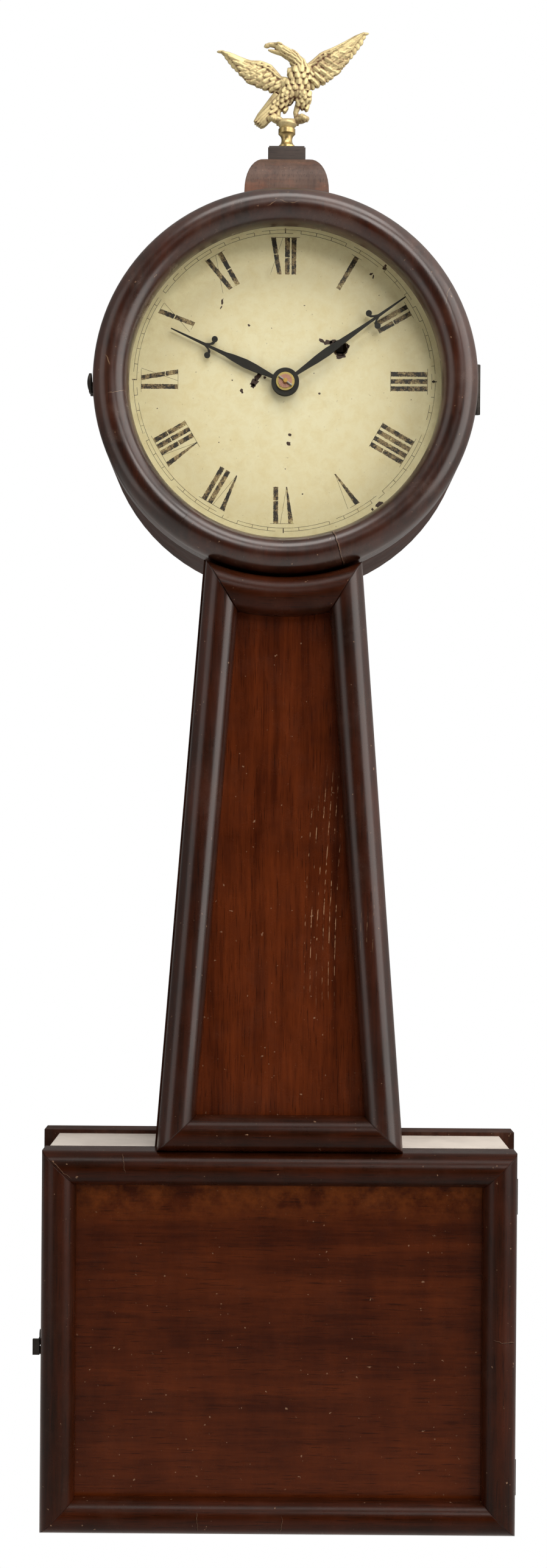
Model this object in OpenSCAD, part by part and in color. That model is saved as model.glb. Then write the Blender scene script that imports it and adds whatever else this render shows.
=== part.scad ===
// Weight-driven banjo wall clock: a round head with the dial, a tapered throat with the weight behind
// its panel, and a box below in which the pendulum swings.
// X to the right, Y towards the wall, Z up. The origin is on the wall plane behind the hands' arbor.

/* [Head] */
// How far the centre of the round head lies below the hands' arbor
head_drop = 2.9; // [0:0.1:6]
// Outer radius of the round head and of the bezel
head_r = 107.5; // [100:0.5:115]
// Radius of the bezel's clear opening
bezel_in_r = 87.3; // [84:0.1:90]
// Wall thickness of the head ring
ring_wall = 11.5; // [8:0.5:14]
// Half width of the passage from the head down into the throat
passage_half = 36; // [30:1:38]
// Radius of the painted dial plate
dial_r = 101.5; // [95:0.5:103]

/* [Case depths] */
// Thickness of the back board
board_t = 18; // [12:1:20]
// Front face of the case sides, measured from the wall
case_depth = 70; // [68:0.5:74]
// Gap between the case front and the closed bezel or door
door_gap = 0.5; // [0.2:0.1:1]
// Depth of the flat-sided part of the bezel, door and throat mouldings
mould_base = 17.5; // [16:0.5:20]

/* [Throat] */
// Half width of the throat frame at its top corners
throat_top_half = 43.5; // [40:0.5:46]
// Half width of the throat frame where it meets the box
throat_low_half = 68.7; // [60:0.1:75]
// Distance from the head centre down to the frame's top corners
throat_top_drop = 100.3; // [99:0.1:101]
// Distance from the head centre down to the top of the box
throat_drop = 430; // [400:1:460]
// Width of the half-round moulding on the stiles and the bottom rail
throat_mould_w = 20; // [16:0.5:22]
// Radius of the lower edge of the curved top rail, about the head centre
throat_arc_r = 131; // [128:0.5:134]

/* [Box] */
// Half width of the box door
door_half = 132.5; // [125:0.5:136]
// Height of the box and its door
box_h = 213; // [190:1:240]
// Width of the door's half-round moulding
door_mould_w = 19; // [16:0.5:22]
// How much narrower the box sides are than the door, on each side
box_inset = 2.5; // [0:0.5:4]
// How far the back board stands out beyond the door on each side
board_proud = 6.5; // [0:0.5:8]
// Thickness of the box boards
box_wall = 8; // [6:0.5:10]

/* [Finial] */
// Half width of the bell-shaped bracket at its foot
bell_half = 24; // [20:0.5:28]
// Height of the bracket's top above the head centre
bell_top = 134.8; // [132:0.1:140]
// Side of the square plinth
plinth_w = 21.5; // [18:0.5:24]
// Height of the plinth
plinth_h = 8.3; // [6:0.1:10]
// Height of the turned brass spool
spool_h = 13; // [11.8:0.1:15]

/* [Movement] */
// Winding arbor, right of the hands' arbor
barrel_x = 31; // [30.5:0.1:32]
// Winding arbor, above the hands' arbor
barrel_z = 20.6; // [20:0.1:21]
// Height of the pallet arbor and the pendulum's pivot above the hands' arbor
pendulum_z = 64.5; // [64:0.1:65]
// Distance from the pendulum's pivot to the centre of its bob
pendulum_len = 559; // [540:1:565]
// Radius of the pendulum bob
bob_r = 45; // [38:0.5:46]

/* [Weight] */
// Height of the weight
weight_h = 140; // [100:1:150]
// Width of the weight
weight_w = 48; // [40:1:48]
// Radius of the weight's pulley at the centre line of the cord
pulley_r = 12; // [10:0.5:12]

/* [Hands] */
// Length of the minute hand from its arbor
minute_len = 83; // [78:0.5:84]
// Length of the hour hand from its arbor
hour_len = 71.5; // [60:0.5:74]
// Angle of the minute hand, clockwise from twelve
minute_angle = 54.4; // [0:0.1:360]
// Angle of the hour hand, clockwise from twelve
hour_angle = 295; // [0:0.1:360]

/* [Hidden] */
$fn = 48;

wood = "#4a2a20";
wood_red = "#6b3a2a";
brass = "#c9a24a";
steel = "#8d9094";
iron = "#3a3836";

head_z = -head_drop;
box_top_z = head_z - throat_drop;
box_low_z = box_top_z - box_h;
box_half = door_half - box_inset;
body_half_inset = -1;
body_shift = 1;
side_t = 6;
taper = (throat_low_half - throat_top_half) / (throat_drop - throat_top_drop);
taper_angle = atan(taper);
door_back = case_depth + door_gap;
mould_front = case_depth + 18;
panel_back = 80;
panel_front = 84;
rabbet = 3;
glass_front = 85;
finial_y = 44;
bell_curve_h = 22;
spool_r = 4.9;
eagle_foot_h = 3;
board_half = door_half + board_proud;
board_rise = 2.2;
run = 0.05;

// Layers of the movement, as distances from the wall
back_plate_y = [24, 26.5];
front_plate_y = [54.5, 57];
great_y = [28, 30];
drum_y = [31.9, 44];
centre_y = [37, 38.5];
third_y = [43, 44.5];
escape_y = [49, 50.5];
cannon_y = [58.3, 59.8];
hour_wheel_y = [61, 62.5];
rod_y = [64.5, 66];
dial_y = [68.6, 69.6];
hour_hand_y = [72, 72.8];
minute_hand_y = [74.5, 75.3];
cord_y = 34;

// Arbors in the plane of the dial
barrel_at = [barrel_x, barrel_z];
third_at = [-11, 24];
escape_at = [0, 40.5];
pallet_at = [0, pendulum_z];
minute_wheel_at = [-17, -17];
third_module = 2 * norm(third_at) / (80 + 8);
great_module = 2 * norm(barrel_at) / (96 + 8);
escape_module = 2 * norm(escape_at - third_at) / (64 + 8);
motion_module = 2 * norm(minute_wheel_at) / (24 + 72);
hour_module = 2 * norm(minute_wheel_at) / (12 + 48);
escape_tip_r = 16.5;

pulley_x = barrel_x - 7.7 - pulley_r;
pulley_z = -446;
weight_top_z = pulley_z - 26;
hook_z = -75;
bob_z = pendulum_z - pendulum_len;
bezel_axis = [head_r + 1.1, door_back - door_gap / 2];
door_axis = [door_half + 0.7, door_back - door_gap / 2];
hinge_r = 1.9;
bezel_hinge_h = 28;
door_hinge_h = 20;
bezel_leaf_w = 6.4;
door_leaf_w = 11;
door_hinge_inset = 17;
catch_y = 80.2;
catch_pivot_y = 60;

function throat_half(z) = throat_top_half + (head_z - throat_top_drop - z) * taper;

function polar(r, a) = [r * cos(a), r * sin(a)];

// Angle of the line from point p to point q
function toward(p, q) = atan2(q[1] - p[1], q[0] - p[0]);

// ---- Drawing helpers: everything flat is drawn in the XZ plane and given its depth here ----

// Extrudes an XZ outline between two distances from the wall
module layer(near, far) {
  translate([0, -near, 0]) rotate([90, 0, 0]) linear_extrude(far - near) children();
}

// Extrudes a YZ outline between two X positions
module side_layer(x0, x1) {
  translate([x0, 0, 0]) rotate([90, 0, 90]) linear_extrude(x1 - x0) children();
}

// Round bar along Y at an XZ point
module bar(at, r, near, far) {
  translate([at[0], -near, at[1]]) rotate([90, 0, 0]) cylinder(r = r, h = far - near);
}

// Square bar along Y at an XZ point
module square_bar(at, w, near, far) {
  translate([at[0] - w / 2, -far, at[1] - w / 2]) cube([w, far - near, w]);
}

// Box from its limits: X range, distances from the wall, Z range
module block(x, y, z) {
  translate([x[0], -y[1], z[0]]) cube([x[1] - x[0], y[1] - y[0], z[1] - z[0]]);
}

module mirrored_x() {
  children();
  mirror([1, 0, 0]) children();
}

// Half-round moulding along Z, w wide, with its flat back at the case front
module half_round(w, back, len) {
  block([-w / 2, w / 2], [back, mould_front], [-len / 2, len / 2]);
  translate([0, -mould_front, -len / 2]) cylinder(r = w / 2, h = len);
}

// Tooth outline with straight flanks; share is the tooth's width at the pitch circle over half a pitch
function gear_points(teeth, m, share, add, ded) = [
  for (i = [0:teeth - 1], k = [0:3])
    let (
      pitch = 360 / teeth,
      r = teeth * m / 2,
      outer = k == 1 || k == 2,
      half = pitch / 4 * share * (outer ? tip_taper : root_taper),
      side = k < 2 ? -1 : 1
    )
    polar(r + m * (outer ? add : -ded), i * pitch + side * half)
];

tip_taper = 0.6;
root_taper = 1.35;

module gear(at, teeth, m, phase, share = 0.84, add = 0.72, ded = 0.95) {
  translate(at) rotate(phase) polygon(gear_points(teeth, m, share, add, ded));
}

// Cut-outs between spokes
module crossings(at, r_in, r_out, spokes, spoke_w) {
  translate(at) difference() {
    circle(r = r_out);
    circle(r = r_in);
    for (i = [0:spokes - 1]) {
      rotate(i * 360 / spokes + 18) translate([0, -spoke_w / 2]) square([r_out + 1, spoke_w]);
    }
  }
}

// ---- Case ----

module head_disc(r) {
  translate([0, head_z]) circle(r = r);
}

module throat_outline(inset, top_z, low_z) {
  polygon([
    [-(throat_half(top_z) - inset), top_z],
    [throat_half(top_z) - inset, top_z],
    [throat_half(low_z) - inset, low_z],
    [-(throat_half(low_z) - inset), low_z]
  ]);
}

// The throat's sides stand a little to the left of the frame they carry
module body_outline(inset, top_z, low_z) {
  translate([-body_shift, 0]) throat_outline(body_half_inset + inset, top_z, low_z);
}

hanger_z = 78;
hanger_hole_r = 4;
stay_x = 80;
stay_z = box_low_z + 24;
stay_hole_r = 2.5;

module backboard() color(wood) {
  difference() {
    union() {
      layer(0, board_t) head_disc(head_r);
      layer(0, board_t) body_outline(0, head_z - 60, box_top_z + 1);
      block([-board_half, board_half], [0, board_t], [box_low_z, box_top_z + board_rise]);
    }
    block([-13, 13], [-1, 2], [hanger_z - 20, hanger_z + 20]);
    bar([0, hanger_z], 9, 1, 12);
    for (z = [-15, 15]) bar([0, hanger_z + z], 1.5, 1, 12);
    for (x = [-stay_x, stay_x]) bar([x, stay_z], stay_hole_r, -1, board_t + 1);
    for (at = movement_screw_at) bar(at, 1.8, 8, board_t + 1);
    bar([pulley_x - pulley_r, hook_z], 1.5, 8, board_t + 1);
  }
}

module hanger_plate() color(iron) {
  difference() {
    block([-13, 13], [0, 2], [hanger_z - 20, hanger_z + 20]);
    bar([0, hanger_z], hanger_hole_r, -1, 3);
    for (z = [-15, 15]) bar([0, hanger_z + z], 1.5, -1, 3);
  }
}

module head_ring() color(wood) {
  difference() {
    layer(board_t, case_depth) difference() {
      head_disc(head_r);
      head_disc(head_r - ring_wall);
      translate([-passage_half, head_z - head_r - 1]) square([2 * passage_half, head_r]);
    }
    layer(dial_y[0], case_depth + 1) head_disc(dial_r + 0.5);
    for (a = dial_screw_angles) bar(dial_screw(a), 1.2, 60, case_depth);
    hinge_pocket(bezel_axis, head_z, bezel_hinge_h, bezel_leaf_w);
    side_screw_hole(-head_r, head_z);
  }
}

module throat_sides() color(wood) {
  layer(board_t, case_depth) difference() {
    body_outline(0, head_z - 60, box_top_z);
    body_outline(side_t, head_z - 59, box_top_z - 1);
    head_disc(head_r);
  }
}

// The panel opening of the throat frame, grown by d on every side
module throat_opening(d) {
  w = throat_mould_w / cos(taper_angle);
  difference() {
    throat_outline(w - d, head_z - 110, box_top_z + throat_mould_w - d);
    head_disc(throat_arc_r - d);
  }
}

module throat_stiles() color(wood) {
  mid_z = (head_z - throat_top_drop + box_top_z) / 2;
  inner_w = throat_mould_w / cos(taper_angle);
  top_z = head_z - throat_top_drop;
  arc_x = throat_half(top_z) - 17.9;
  arc_z = head_z - sqrt(throat_arc_r * throat_arc_r - arc_x * arc_x);
  low_in_z = box_top_z + throat_mould_w;
  mirrored_x() difference() {
    intersection() {
      translate([throat_half(mid_z) - inner_w / 2, 0, mid_z])
        rotate([0, -taper_angle, 0]) half_round(throat_mould_w, case_depth, 400);
      layer(case_depth, 110) polygon([
        [throat_half(top_z) + 0.01, top_z],
        [throat_half(box_top_z) + 0.01, box_top_z],
        [throat_half(low_in_z) - inner_w, low_in_z],
        [arc_x, arc_z]
      ]);
    }
    layer(case_depth - 1, panel_front) throat_opening(rabbet);
  }
}

module throat_rail_top() color(wood) {
  top_z = head_z - throat_top_drop;
  outer_r = norm([throat_top_half, throat_top_drop]);
  arc_x = throat_half(top_z) - 17.9;
  arc_z = head_z - sqrt(throat_arc_r * throat_arc_r - arc_x * arc_x);
  bead_r = (throat_arc_r - outer_r) / 2;
  difference() {
    intersection() {
      translate([0, 0, head_z]) rotate([90, 0, 0]) union() {
        translate([0, 0, case_depth]) difference() {
          cylinder(r = throat_arc_r, h = mould_front - case_depth);
          translate([0, 0, -1]) cylinder(r = outer_r, h = 30);
        }
        translate([0, 0, mould_front]) rotate_extrude() translate([outer_r + bead_r, 0]) circle(r = bead_r);
      }
      layer(case_depth, 110) polygon([
        [-throat_top_half, top_z],
        [throat_top_half, top_z],
        [arc_x, arc_z],
        [0, head_z - throat_arc_r - 9],
        [-arc_x, arc_z]
      ]);
    }
    layer(case_depth - 1, panel_front) throat_opening(rabbet);
  }
}

module throat_rail_bottom() color(wood) {
  low_in_z = box_top_z + throat_mould_w;
  inner_w = throat_mould_w / cos(taper_angle);
  difference() {
    intersection() {
      translate([0, 0, box_top_z + throat_mould_w / 2])
        rotate([0, 90, 0]) half_round(throat_mould_w, case_depth, 160);
      layer(case_depth, 110) polygon([
        [-throat_half(box_top_z), box_top_z],
        [throat_half(box_top_z), box_top_z],
        [throat_half(low_in_z) - inner_w, low_in_z],
        [-throat_half(low_in_z) + inner_w, low_in_z]
      ]);
    }
    layer(case_depth - 1, panel_front) throat_opening(rabbet);
  }
}

module throat_panel() color(wood_red) {
  layer(panel_back, panel_front) throat_opening(rabbet - 0.2);
}

module box_sides() color(wood) {
  difference() {
    mirrored_x() block(
      [box_half - box_wall, box_half],
      [board_t, case_depth],
      [box_low_z + box_wall, box_top_z - box_wall]
    );
    for (z = door_hinge_z) hinge_pocket(door_axis, z, door_hinge_h, door_leaf_w);
    side_screw_hole(-box_half, door_hook_z);
  }
}

module box_top() color(wood) {
  difference() {
    block([-box_half, box_half], [board_t, case_depth], [box_top_z - box_wall, box_top_z]);
    block([-59, 59], [board_t + 2, case_depth - 2], [box_top_z - box_wall - 1, box_top_z + 1]);
  }
}

module box_bottom() color(wood) {
  block([-box_half, box_half], [board_t, case_depth], [box_low_z, box_low_z + box_wall]);
}

module weight_partition() color("#7d6248") {
  top_z = head_z - 112;
  top_half = throat_half(top_z) - body_half_inset - side_t - 2;
  layer(49, 50.4) polygon([
    [-top_half, top_z],
    [top_half, top_z],
    [57, box_top_z + 10],
    [57, box_low_z + box_wall],
    [-57, box_low_z + box_wall],
    [-57, box_top_z + 10]
  ]);
}

// ---- Finial ----

// Quarter ellipse from the foot of the bell up to the plinth
function bell_side(sign) = [
  for (i = [0:10])
    let (t = sign > 0 ? i * 9 : 90 - i * 9)
    [
      sign * (plinth_w / 2 + (bell_half - plinth_w / 2) * cos(t)),
      head_z + bell_top - bell_curve_h + bell_curve_h * sin(t)
    ]
];

module bell_outline() {
  polygon(concat(
    [[-bell_half - 0.5, head_z + 100], [bell_half + 0.5, head_z + 100]],
    bell_side(1),
    bell_side(-1)
  ));
}

// Bell-shaped from the front and from the side, seated on the round head
module finial_bracket() color(wood) {
  difference() {
    intersection() {
      layer(0, case_depth) bell_outline();
      side_layer(-40, 40) translate([-finial_y, 0]) bell_outline();
    }
    layer(-1, case_depth + 1) head_disc(head_r);
  }
}

module finial_plinth() color(wood) {
  w = plinth_w / 2;
  z = head_z + bell_top;
  block([-w, w], [finial_y - w, finial_y + w], [z, z + plinth_h - 1]);
  block([-w + 0.6, w - 0.6], [finial_y - w + 0.6, finial_y + w - 0.6], [z + plinth_h - 1, z + plinth_h]);
}

spool_z = head_z + bell_top + plinth_h;

module finial_spool() color(brass) {
  translate([0, -finial_y, spool_z]) rotate_extrude() difference() {
    square([spool_r, spool_h]);
    translate([7.6, spool_h / 2 + 0.2]) circle(r = 4.5);
  }
}

perch_z = spool_z + spool_h + eagle_foot_h;

// An upright spread eagle as a plain casting: body, neck, head, wings, tail, legs and perch
module eagle() color(brass) {
  translate([0, -finial_y, perch_z]) {
    layer(-5, 5) polygon([
      [-5, 15.5], [-0.2, 27.5], [1.8, 32.1], [-0.8, 38], [-7, 41.5], [-13.4, 45], [-13.9, 46.8],
      [-9, 47], [-5.4, 47.4], [-1.5, 45.5], [6, 39.5], [12.6, 34.2], [13.6, 26], [13, 18], [12, 13],
      [7.5, 8], [6.3, 3.5], [3.2, 3.5], [2.4, 9.2], [0.4, 9.6], [-1.8, 7], [-2.4, 3.5], [-9, 5], [-8, 12]
    ]);
    layer(-3.5, 3.5) polygon([[-9, 12], [-6, 16.2], [-0.5, 14], [-9, 2], [-16.6, -1.9], [-19.4, -0.4]]);
    layer(-4, 4) polygon([
      [-10, 4], [13.6, 4.2], [14, 1.2], [6.3, 0], [5, -eagle_foot_h], [-5, -eagle_foot_h], [-6, 0]
    ]);
    layer(-2.5, 2.5) polygon([
      [-3.5, 24.5], [-5.4, 28.9], [-8.7, 33.1], [-13.3, 35.4], [-19.1, 35.8], [-40.7, 42.6],
      [-34.8, 34.5], [-23.1, 24.3], [-13.9, 19.8], [-6.7, 16.8], [-1, 17]
    ]);
    layer(-2.5, 2.5) polygon([
      [10, 33], [12.8, 34.1], [20, 41], [30, 46], [43.6, 53.4], [44.8, 51.6], [42.3, 45], [39, 40],
      [29.2, 30.2], [23.3, 23.7], [14.8, 19.1], [11, 19]
    ]);
  }
}

// ---- Hinges, catches and screws ----

door_mid_z = box_top_z - box_h / 2;
door_hinge_z = [
  box_top_z - door_hinge_inset - door_hinge_h / 2,
  box_low_z + door_hinge_inset + door_hinge_h / 2
];

// Room for a butt hinge: a groove for the knuckle and a shallow bed for each leaf
module hinge_pocket(axis, z, h, leaf_w) {
  translate([axis[0], -axis[1], z - h / 2 - 0.2]) cylinder(r = hinge_r + 0.2, h = h + 0.4);
  block(
    [axis[0] - leaf_w - 0.5, axis[0]],
    [axis[1] - 0.95, axis[1] + 0.95],
    [z - h / 2 - 0.2, z + h / 2 + 0.2]
  );
}

// One leaf of a butt hinge and its share of the knuckle; the case leaf also holds the pin
module hinge_leaf(axis, z, h, leaf_w, moving) {
  third = h / 3;
  near = moving ? axis[1] + 0.15 : axis[1] - 0.85;
  translate([axis[0], -axis[1], z]) {
    if (moving) {
      difference() {
        translate([0, 0, -third / 2 + 0.1]) cylinder(r = hinge_r, h = third - 0.2);
        translate([0, 0, -third]) cylinder(r = 0.85, h = 2 * third);
      }
    } else {
      for (side = [-1, 1]) {
        translate([0, 0, side * third - third / 2]) cylinder(r = hinge_r, h = third);
      }
      translate([0, 0, -h / 2]) cylinder(r = 0.8, h = h);
    }
  }
  difference() {
    block([axis[0] - leaf_w, axis[0] - 1.2], [near, near + 0.7], [z - h / 2, z + h / 2]);
    if (moving) {
      for (side = [-1, 1]) {
        translate([axis[0], -axis[1], z + side * third - third / 2 - 0.1])
          cylinder(r = hinge_r + 0.1, h = third + 0.2);
      }
    } else {
      translate([axis[0], -axis[1], z - third / 2 - 0.1]) cylinder(r = hinge_r + 0.1, h = third + 0.2);
    }
    for (side = [-1, 1]) bar([axis[0] - leaf_w / 2 - 0.8, z + side * h * 0.32], 1, near - 1, near + 2);
  }
}

module hinge_case_leaves() color(steel) {
  hinge_leaf(bezel_axis, head_z, bezel_hinge_h, bezel_leaf_w, false);
  for (z = door_hinge_z) hinge_leaf(door_axis, z, door_hinge_h, door_leaf_w, false);
}

module bezel_hinge_leaf() color(steel) {
  hinge_leaf(bezel_axis, head_z, bezel_hinge_h, bezel_leaf_w, true);
}

module door_hinge_leaves() color(steel) {
  for (z = door_hinge_z) hinge_leaf(door_axis, z, door_hinge_h, door_leaf_w, true);
}

hook_gap = 1.2;
hook_t = 1.2;
arm_half = 1.7;
nose_y = [82.2, 84.4];
nose_low = 6;
catch_top = 1.9;
catch_low = 6.2;
button_r = 5.2;
door_hook_z = door_mid_z - 2.7;

module side_screw_hole(x, z) {
  translate([x - 1, -catch_pivot_y, z]) rotate([0, 90, 0]) cylinder(r = 1.5, h = 7.5);
}

// Shouldered screw on the left side of the case, on which a hook turns
module hook_screw(x, z) {
  hook_x = x - hook_gap;
  translate([hook_x - hook_t - 1.2, -catch_pivot_y, z]) rotate([0, 90, 0]) {
    cylinder(r = 2.8, h = 1);
    cylinder(r = 1.5, h = 8.6);
  }
}

// Room in the moving frame's edge for the catch, below a hook at height z
module catch_pocket(x, z) {
  block([x - 1, x + 3], [catch_y, catch_y + 1.4], [z - catch_low, z - catch_top]);
}

// Small plate let into the moving frame's edge, over which the hook drops
module catch_tab(x, reach, z) {
  block([x - reach, x + 3], [catch_y, catch_y + 1.4], [z - catch_low, z - catch_top]);
}

// Flat hook that turns on the case's screw; its nose hangs in front of the catch
module side_hook(x, z) {
  difference() {
    union() {
      side_layer(x - hook_t, x) {
        translate([-catch_pivot_y, z]) circle(r = 2.9);
        polygon([
          [-catch_pivot_y, z + arm_half],
          [-nose_y[1], z + arm_half],
          [-nose_y[1], z - nose_low],
          [-nose_y[0], z - nose_low],
          [-nose_y[0], z - arm_half],
          [-catch_pivot_y, z - arm_half]
        ]);
      }
      children();
    }
    translate([x - 5, -catch_pivot_y, z]) rotate([0, 90, 0]) cylinder(r = 1.5 + run, h = 10);
  }
}

module bezel_catch() color(iron) catch_tab(-head_r, 2.3, head_z);

module door_catch() color(iron) catch_tab(-door_half, 5, door_hook_z);

// The bezel's hook ends in a round, slightly domed thumb piece
module bezel_hook() color(iron) {
  x = -head_r - hook_gap;
  button = [-81, head_z];
  cap_r = (button_r * button_r + hook_t * hook_t) / (2 * hook_t);
  side_hook(x, head_z) {
    side_layer(x - hook_t, x) difference() {
      translate(button) circle(r = button_r);
      translate([-nose_y[0], head_z - arm_half - 10]) square([10, 10]);
    }
    translate([x - hook_t, button[0], button[1]]) rotate([0, -90, 0]) rotate_extrude() intersection() {
      translate([0, hook_t - cap_r]) circle(r = cap_r);
      square([button_r, hook_t]);
    }
  }
}

// The door's hook ends in a thumb piece bent square to its arm
module door_hook() color(iron) {
  x = -door_half - hook_gap;
  side_hook(x, door_hook_z) {
    block([x - hook_t - 2.6, x], nose_y, [door_hook_z - nose_low, door_hook_z + 2.7]);
  }
}

module case_screws() color(iron) {
  hook_screw(-head_r, head_z);
  translate([-box_inset, 0, 0]) hook_screw(-box_half, door_hook_z);
  for (z = [-15, 15]) {
    bar([0, hanger_z + z], 1.5, 0, 12);
  }
}

// ---- Bezel ----

module bezel_ring() color(wood) {
  bead_r = (head_r - bezel_in_r) / 2;
  difference() {
    translate([0, 0, head_z]) rotate([90, 0, 0]) union() {
      translate([0, 0, door_back]) difference() {
        cylinder(r = head_r, h = mould_base);
        translate([0, 0, -1]) cylinder(r = bezel_in_r, h = 40);
        translate([0, 0, -1]) cylinder(r = 93, h = glass_front - door_back + 1);
      }
      translate([0, 0, mould_front]) rotate_extrude() {
        translate([head_r - bead_r, 0]) intersection() {
          circle(r = bead_r);
          translate([-bead_r, 0]) square([2 * bead_r, bead_r]);
        }
      }
    }
    hinge_pocket(bezel_axis, head_z, bezel_hinge_h, bezel_leaf_w);
    catch_pocket(-head_r, head_z);
  }
}

module bezel_glass() color("#cfe0e0", 0.3) {
  layer(glass_front - 2, glass_front) head_disc(92.8);
}

module glass_putty() color("#a89878") {
  translate([0, -glass_front + 4, head_z]) rotate([90, 0, 0]) rotate_extrude()
    polygon([[93, 0], [93, 2], [90.4, 2]]);
}

// ---- Box door ----

module door_frame_piece(len, outline) {
  difference() {
    intersection() {
      children();
      layer(door_back, 110) polygon(outline);
    }
    layer(door_back - 1, panel_front) door_opening(rabbet);
    for (z = door_hinge_z) hinge_pocket(door_axis, z, door_hinge_h, door_leaf_w);
    catch_pocket(-door_half, door_hook_z);
  }
}

module door_opening(d) {
  x = door_half - door_mould_w + d;
  low = box_low_z + door_mould_w - d;
  translate([-x, low]) square([2 * x, box_h - 2 * door_mould_w + 2 * d]);
}

module door_stiles() color(wood) {
  w = door_mould_w;
  for (side = [-1, 1]) {
    door_frame_piece(box_h, [
      [side * door_half, box_top_z],
      [side * (door_half - w), box_top_z - w],
      [side * (door_half - w), box_low_z + w],
      [side * door_half, box_low_z]
    ])
      translate([side * (door_half - w / 2), 0, door_mid_z]) half_round(w, door_back, box_h);
  }
}

module door_rails() color(wood) {
  w = door_mould_w;
  for (side = [-1, 1]) {
    edge = door_mid_z + side * box_h / 2;
    door_frame_piece(2 * door_half, [
      [-door_half, edge],
      [-door_half + w, edge - side * w],
      [door_half - w, edge - side * w],
      [door_half, edge]
    ])
      translate([0, 0, edge - side * w / 2])
        rotate([0, 90, 0]) half_round(w, door_back, 2 * door_half);
  }
}

module door_panel() color(wood_red) {
  layer(panel_back, panel_front) door_opening(rabbet - 0.2);
}

// ---- Dial ----

dial_screw_angles = [45, 135, 225, 315];

function dial_screw(a) = [0, head_z] + polar(98, a);

module dial() color("#e8e2cc") {
  difference() {
    layer(dial_y[0], dial_y[1]) head_disc(dial_r);
    bar([0, 0], 5.5, dial_y[0] - 1, dial_y[1] + 1);
    bar(barrel_at, 4, dial_y[0] - 1, dial_y[1] + 1);
    for (a = dial_screw_angles) {
      bar(dial_screw(a), 1.3, dial_y[0] - 1, dial_y[1] + 1);
      bar(dial_screw(a), 2.2, dial_y[1] - 0.5, dial_y[1] + 1);
    }
  }
}

module dial_screws() color(brass) {
  for (a = dial_screw_angles) {
    bar(dial_screw(a), 1.2, 60, dial_y[1]);
    bar(dial_screw(a), 2.1, dial_y[1] - 0.5, dial_y[1] + 0.3);
  }
}

// ---- Movement frame ----

pillar_at = [[-31, -23], [45, -23], [-31, 69], [45, 69]];
movement_screw_at = [[-44, 23], [58, -22]];
bridge_screw_at = [[-7.5, 71.5], [7.5, 71.5]];
pivot_r = 0.8;
centre_pivot_r = 1.6;
barrel_pivot_r = 2.8;

module pivot_holes(near, far) {
  bar(barrel_at, barrel_pivot_r + run, near, far);
  bar([0, 0], centre_pivot_r + run, near, far);
  for (at = [third_at, escape_at, pallet_at]) bar(at, pivot_r + run, near, far);
}

module back_plate() color(brass) {
  difference() {
    union() {
      block([-50, 52], back_plate_y, [-30, 76]);
      block([50, 66], back_plate_y, [-30, -14]);
    }
    pivot_holes(back_plate_y[0] - 1, back_plate_y[1] + 1);
    for (at = movement_screw_at) bar(at, 2, back_plate_y[0] - 1, back_plate_y[1] + 1);
    for (at = pillar_at) bar(at, 2, back_plate_y[0] - 1, back_plate_y[1] + 1);
  }
}

module front_plate() color(brass) {
  difference() {
    block([-38, 52], front_plate_y, [-30, 76]);
    pivot_holes(front_plate_y[0] - 1, front_plate_y[1] + 1);
    bar(minute_wheel_at, 1.5, front_plate_y[0] - 1, front_plate_y[1] + 1);
    for (at = pillar_at) bar(at, 1.6, front_plate_y[0] - 1, front_plate_y[1] + 1);
    for (at = bridge_screw_at) bar(at, 1, front_plate_y[0] - 1, front_plate_y[1] + 1);
  }
}

module plate_pillars() color(brass) {
  for (at = pillar_at) {
    difference() {
      union() {
        bar(at, 4, back_plate_y[1], front_plate_y[0]);
        bar(at, 2, back_plate_y[0], back_plate_y[1] + 1);
      }
      bar(at, 1.5, front_plate_y[0] - 6, front_plate_y[0] + 1);
    }
  }
}

module plate_screws() color(steel) {
  for (at = pillar_at) {
    bar(at, 3, front_plate_y[1], front_plate_y[1] + 1);
    bar(at, 1.5, front_plate_y[0] - 5, front_plate_y[1]);
  }
  for (at = bridge_screw_at) {
    bar(at, 1, front_plate_y[0], front_plate_y[1] + 1.2);
    bar(at, 1.9, front_plate_y[1] + 1.2, front_plate_y[1] + 2);
  }
}

module movement_spacers() color(wood_red) {
  for (at = movement_screw_at) {
    difference() {
      bar(at, 6, board_t, back_plate_y[0]);
      bar(at, 2, board_t - 1, back_plate_y[0] + 1);
    }
  }
}

module movement_screws() color(steel) {
  for (at = movement_screw_at) {
    bar(at, 1.8, 8, back_plate_y[1]);
    bar(at, 4, back_plate_y[1], back_plate_y[1] + 2);
  }
}

// Cock on the front plate; the pendulum hangs on the pin between its two ears
module pendulum_bridge() color(brass) {
  difference() {
    union() {
      block([-10.5, 10.5], [front_plate_y[1], 58.2], [68.3, 75.5]);
      block([-4, 4], [front_plate_y[1], 62.2], [68.3, 73]);
      block([-4, 4], [62, 68], [62.5, 73]);
    }
    block([-5, 5], [rod_y[0] - 0.3, rod_y[1] + 0.3], [61, 70]);
    for (at = bridge_screw_at) bar(at, 1, front_plate_y[0], 60);
  }
  bar(pallet_at, 0.8, 62, 68);
}

module cord_hook() color(iron) {
  at = [pulley_x - pulley_r, hook_z];
  bar(at, 1.5, 8, cord_y + 2);
  bar(at, 2.4, cord_y + 2, cord_y + 3);
}

// ---- Going train ----

module arbor(at, r) {
  bar(at, r, back_plate_y[1] + 0.2, front_plate_y[0] - 0.2);
  bar(at, pivot_r, back_plate_y[0], front_plate_y[1]);
}

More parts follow.
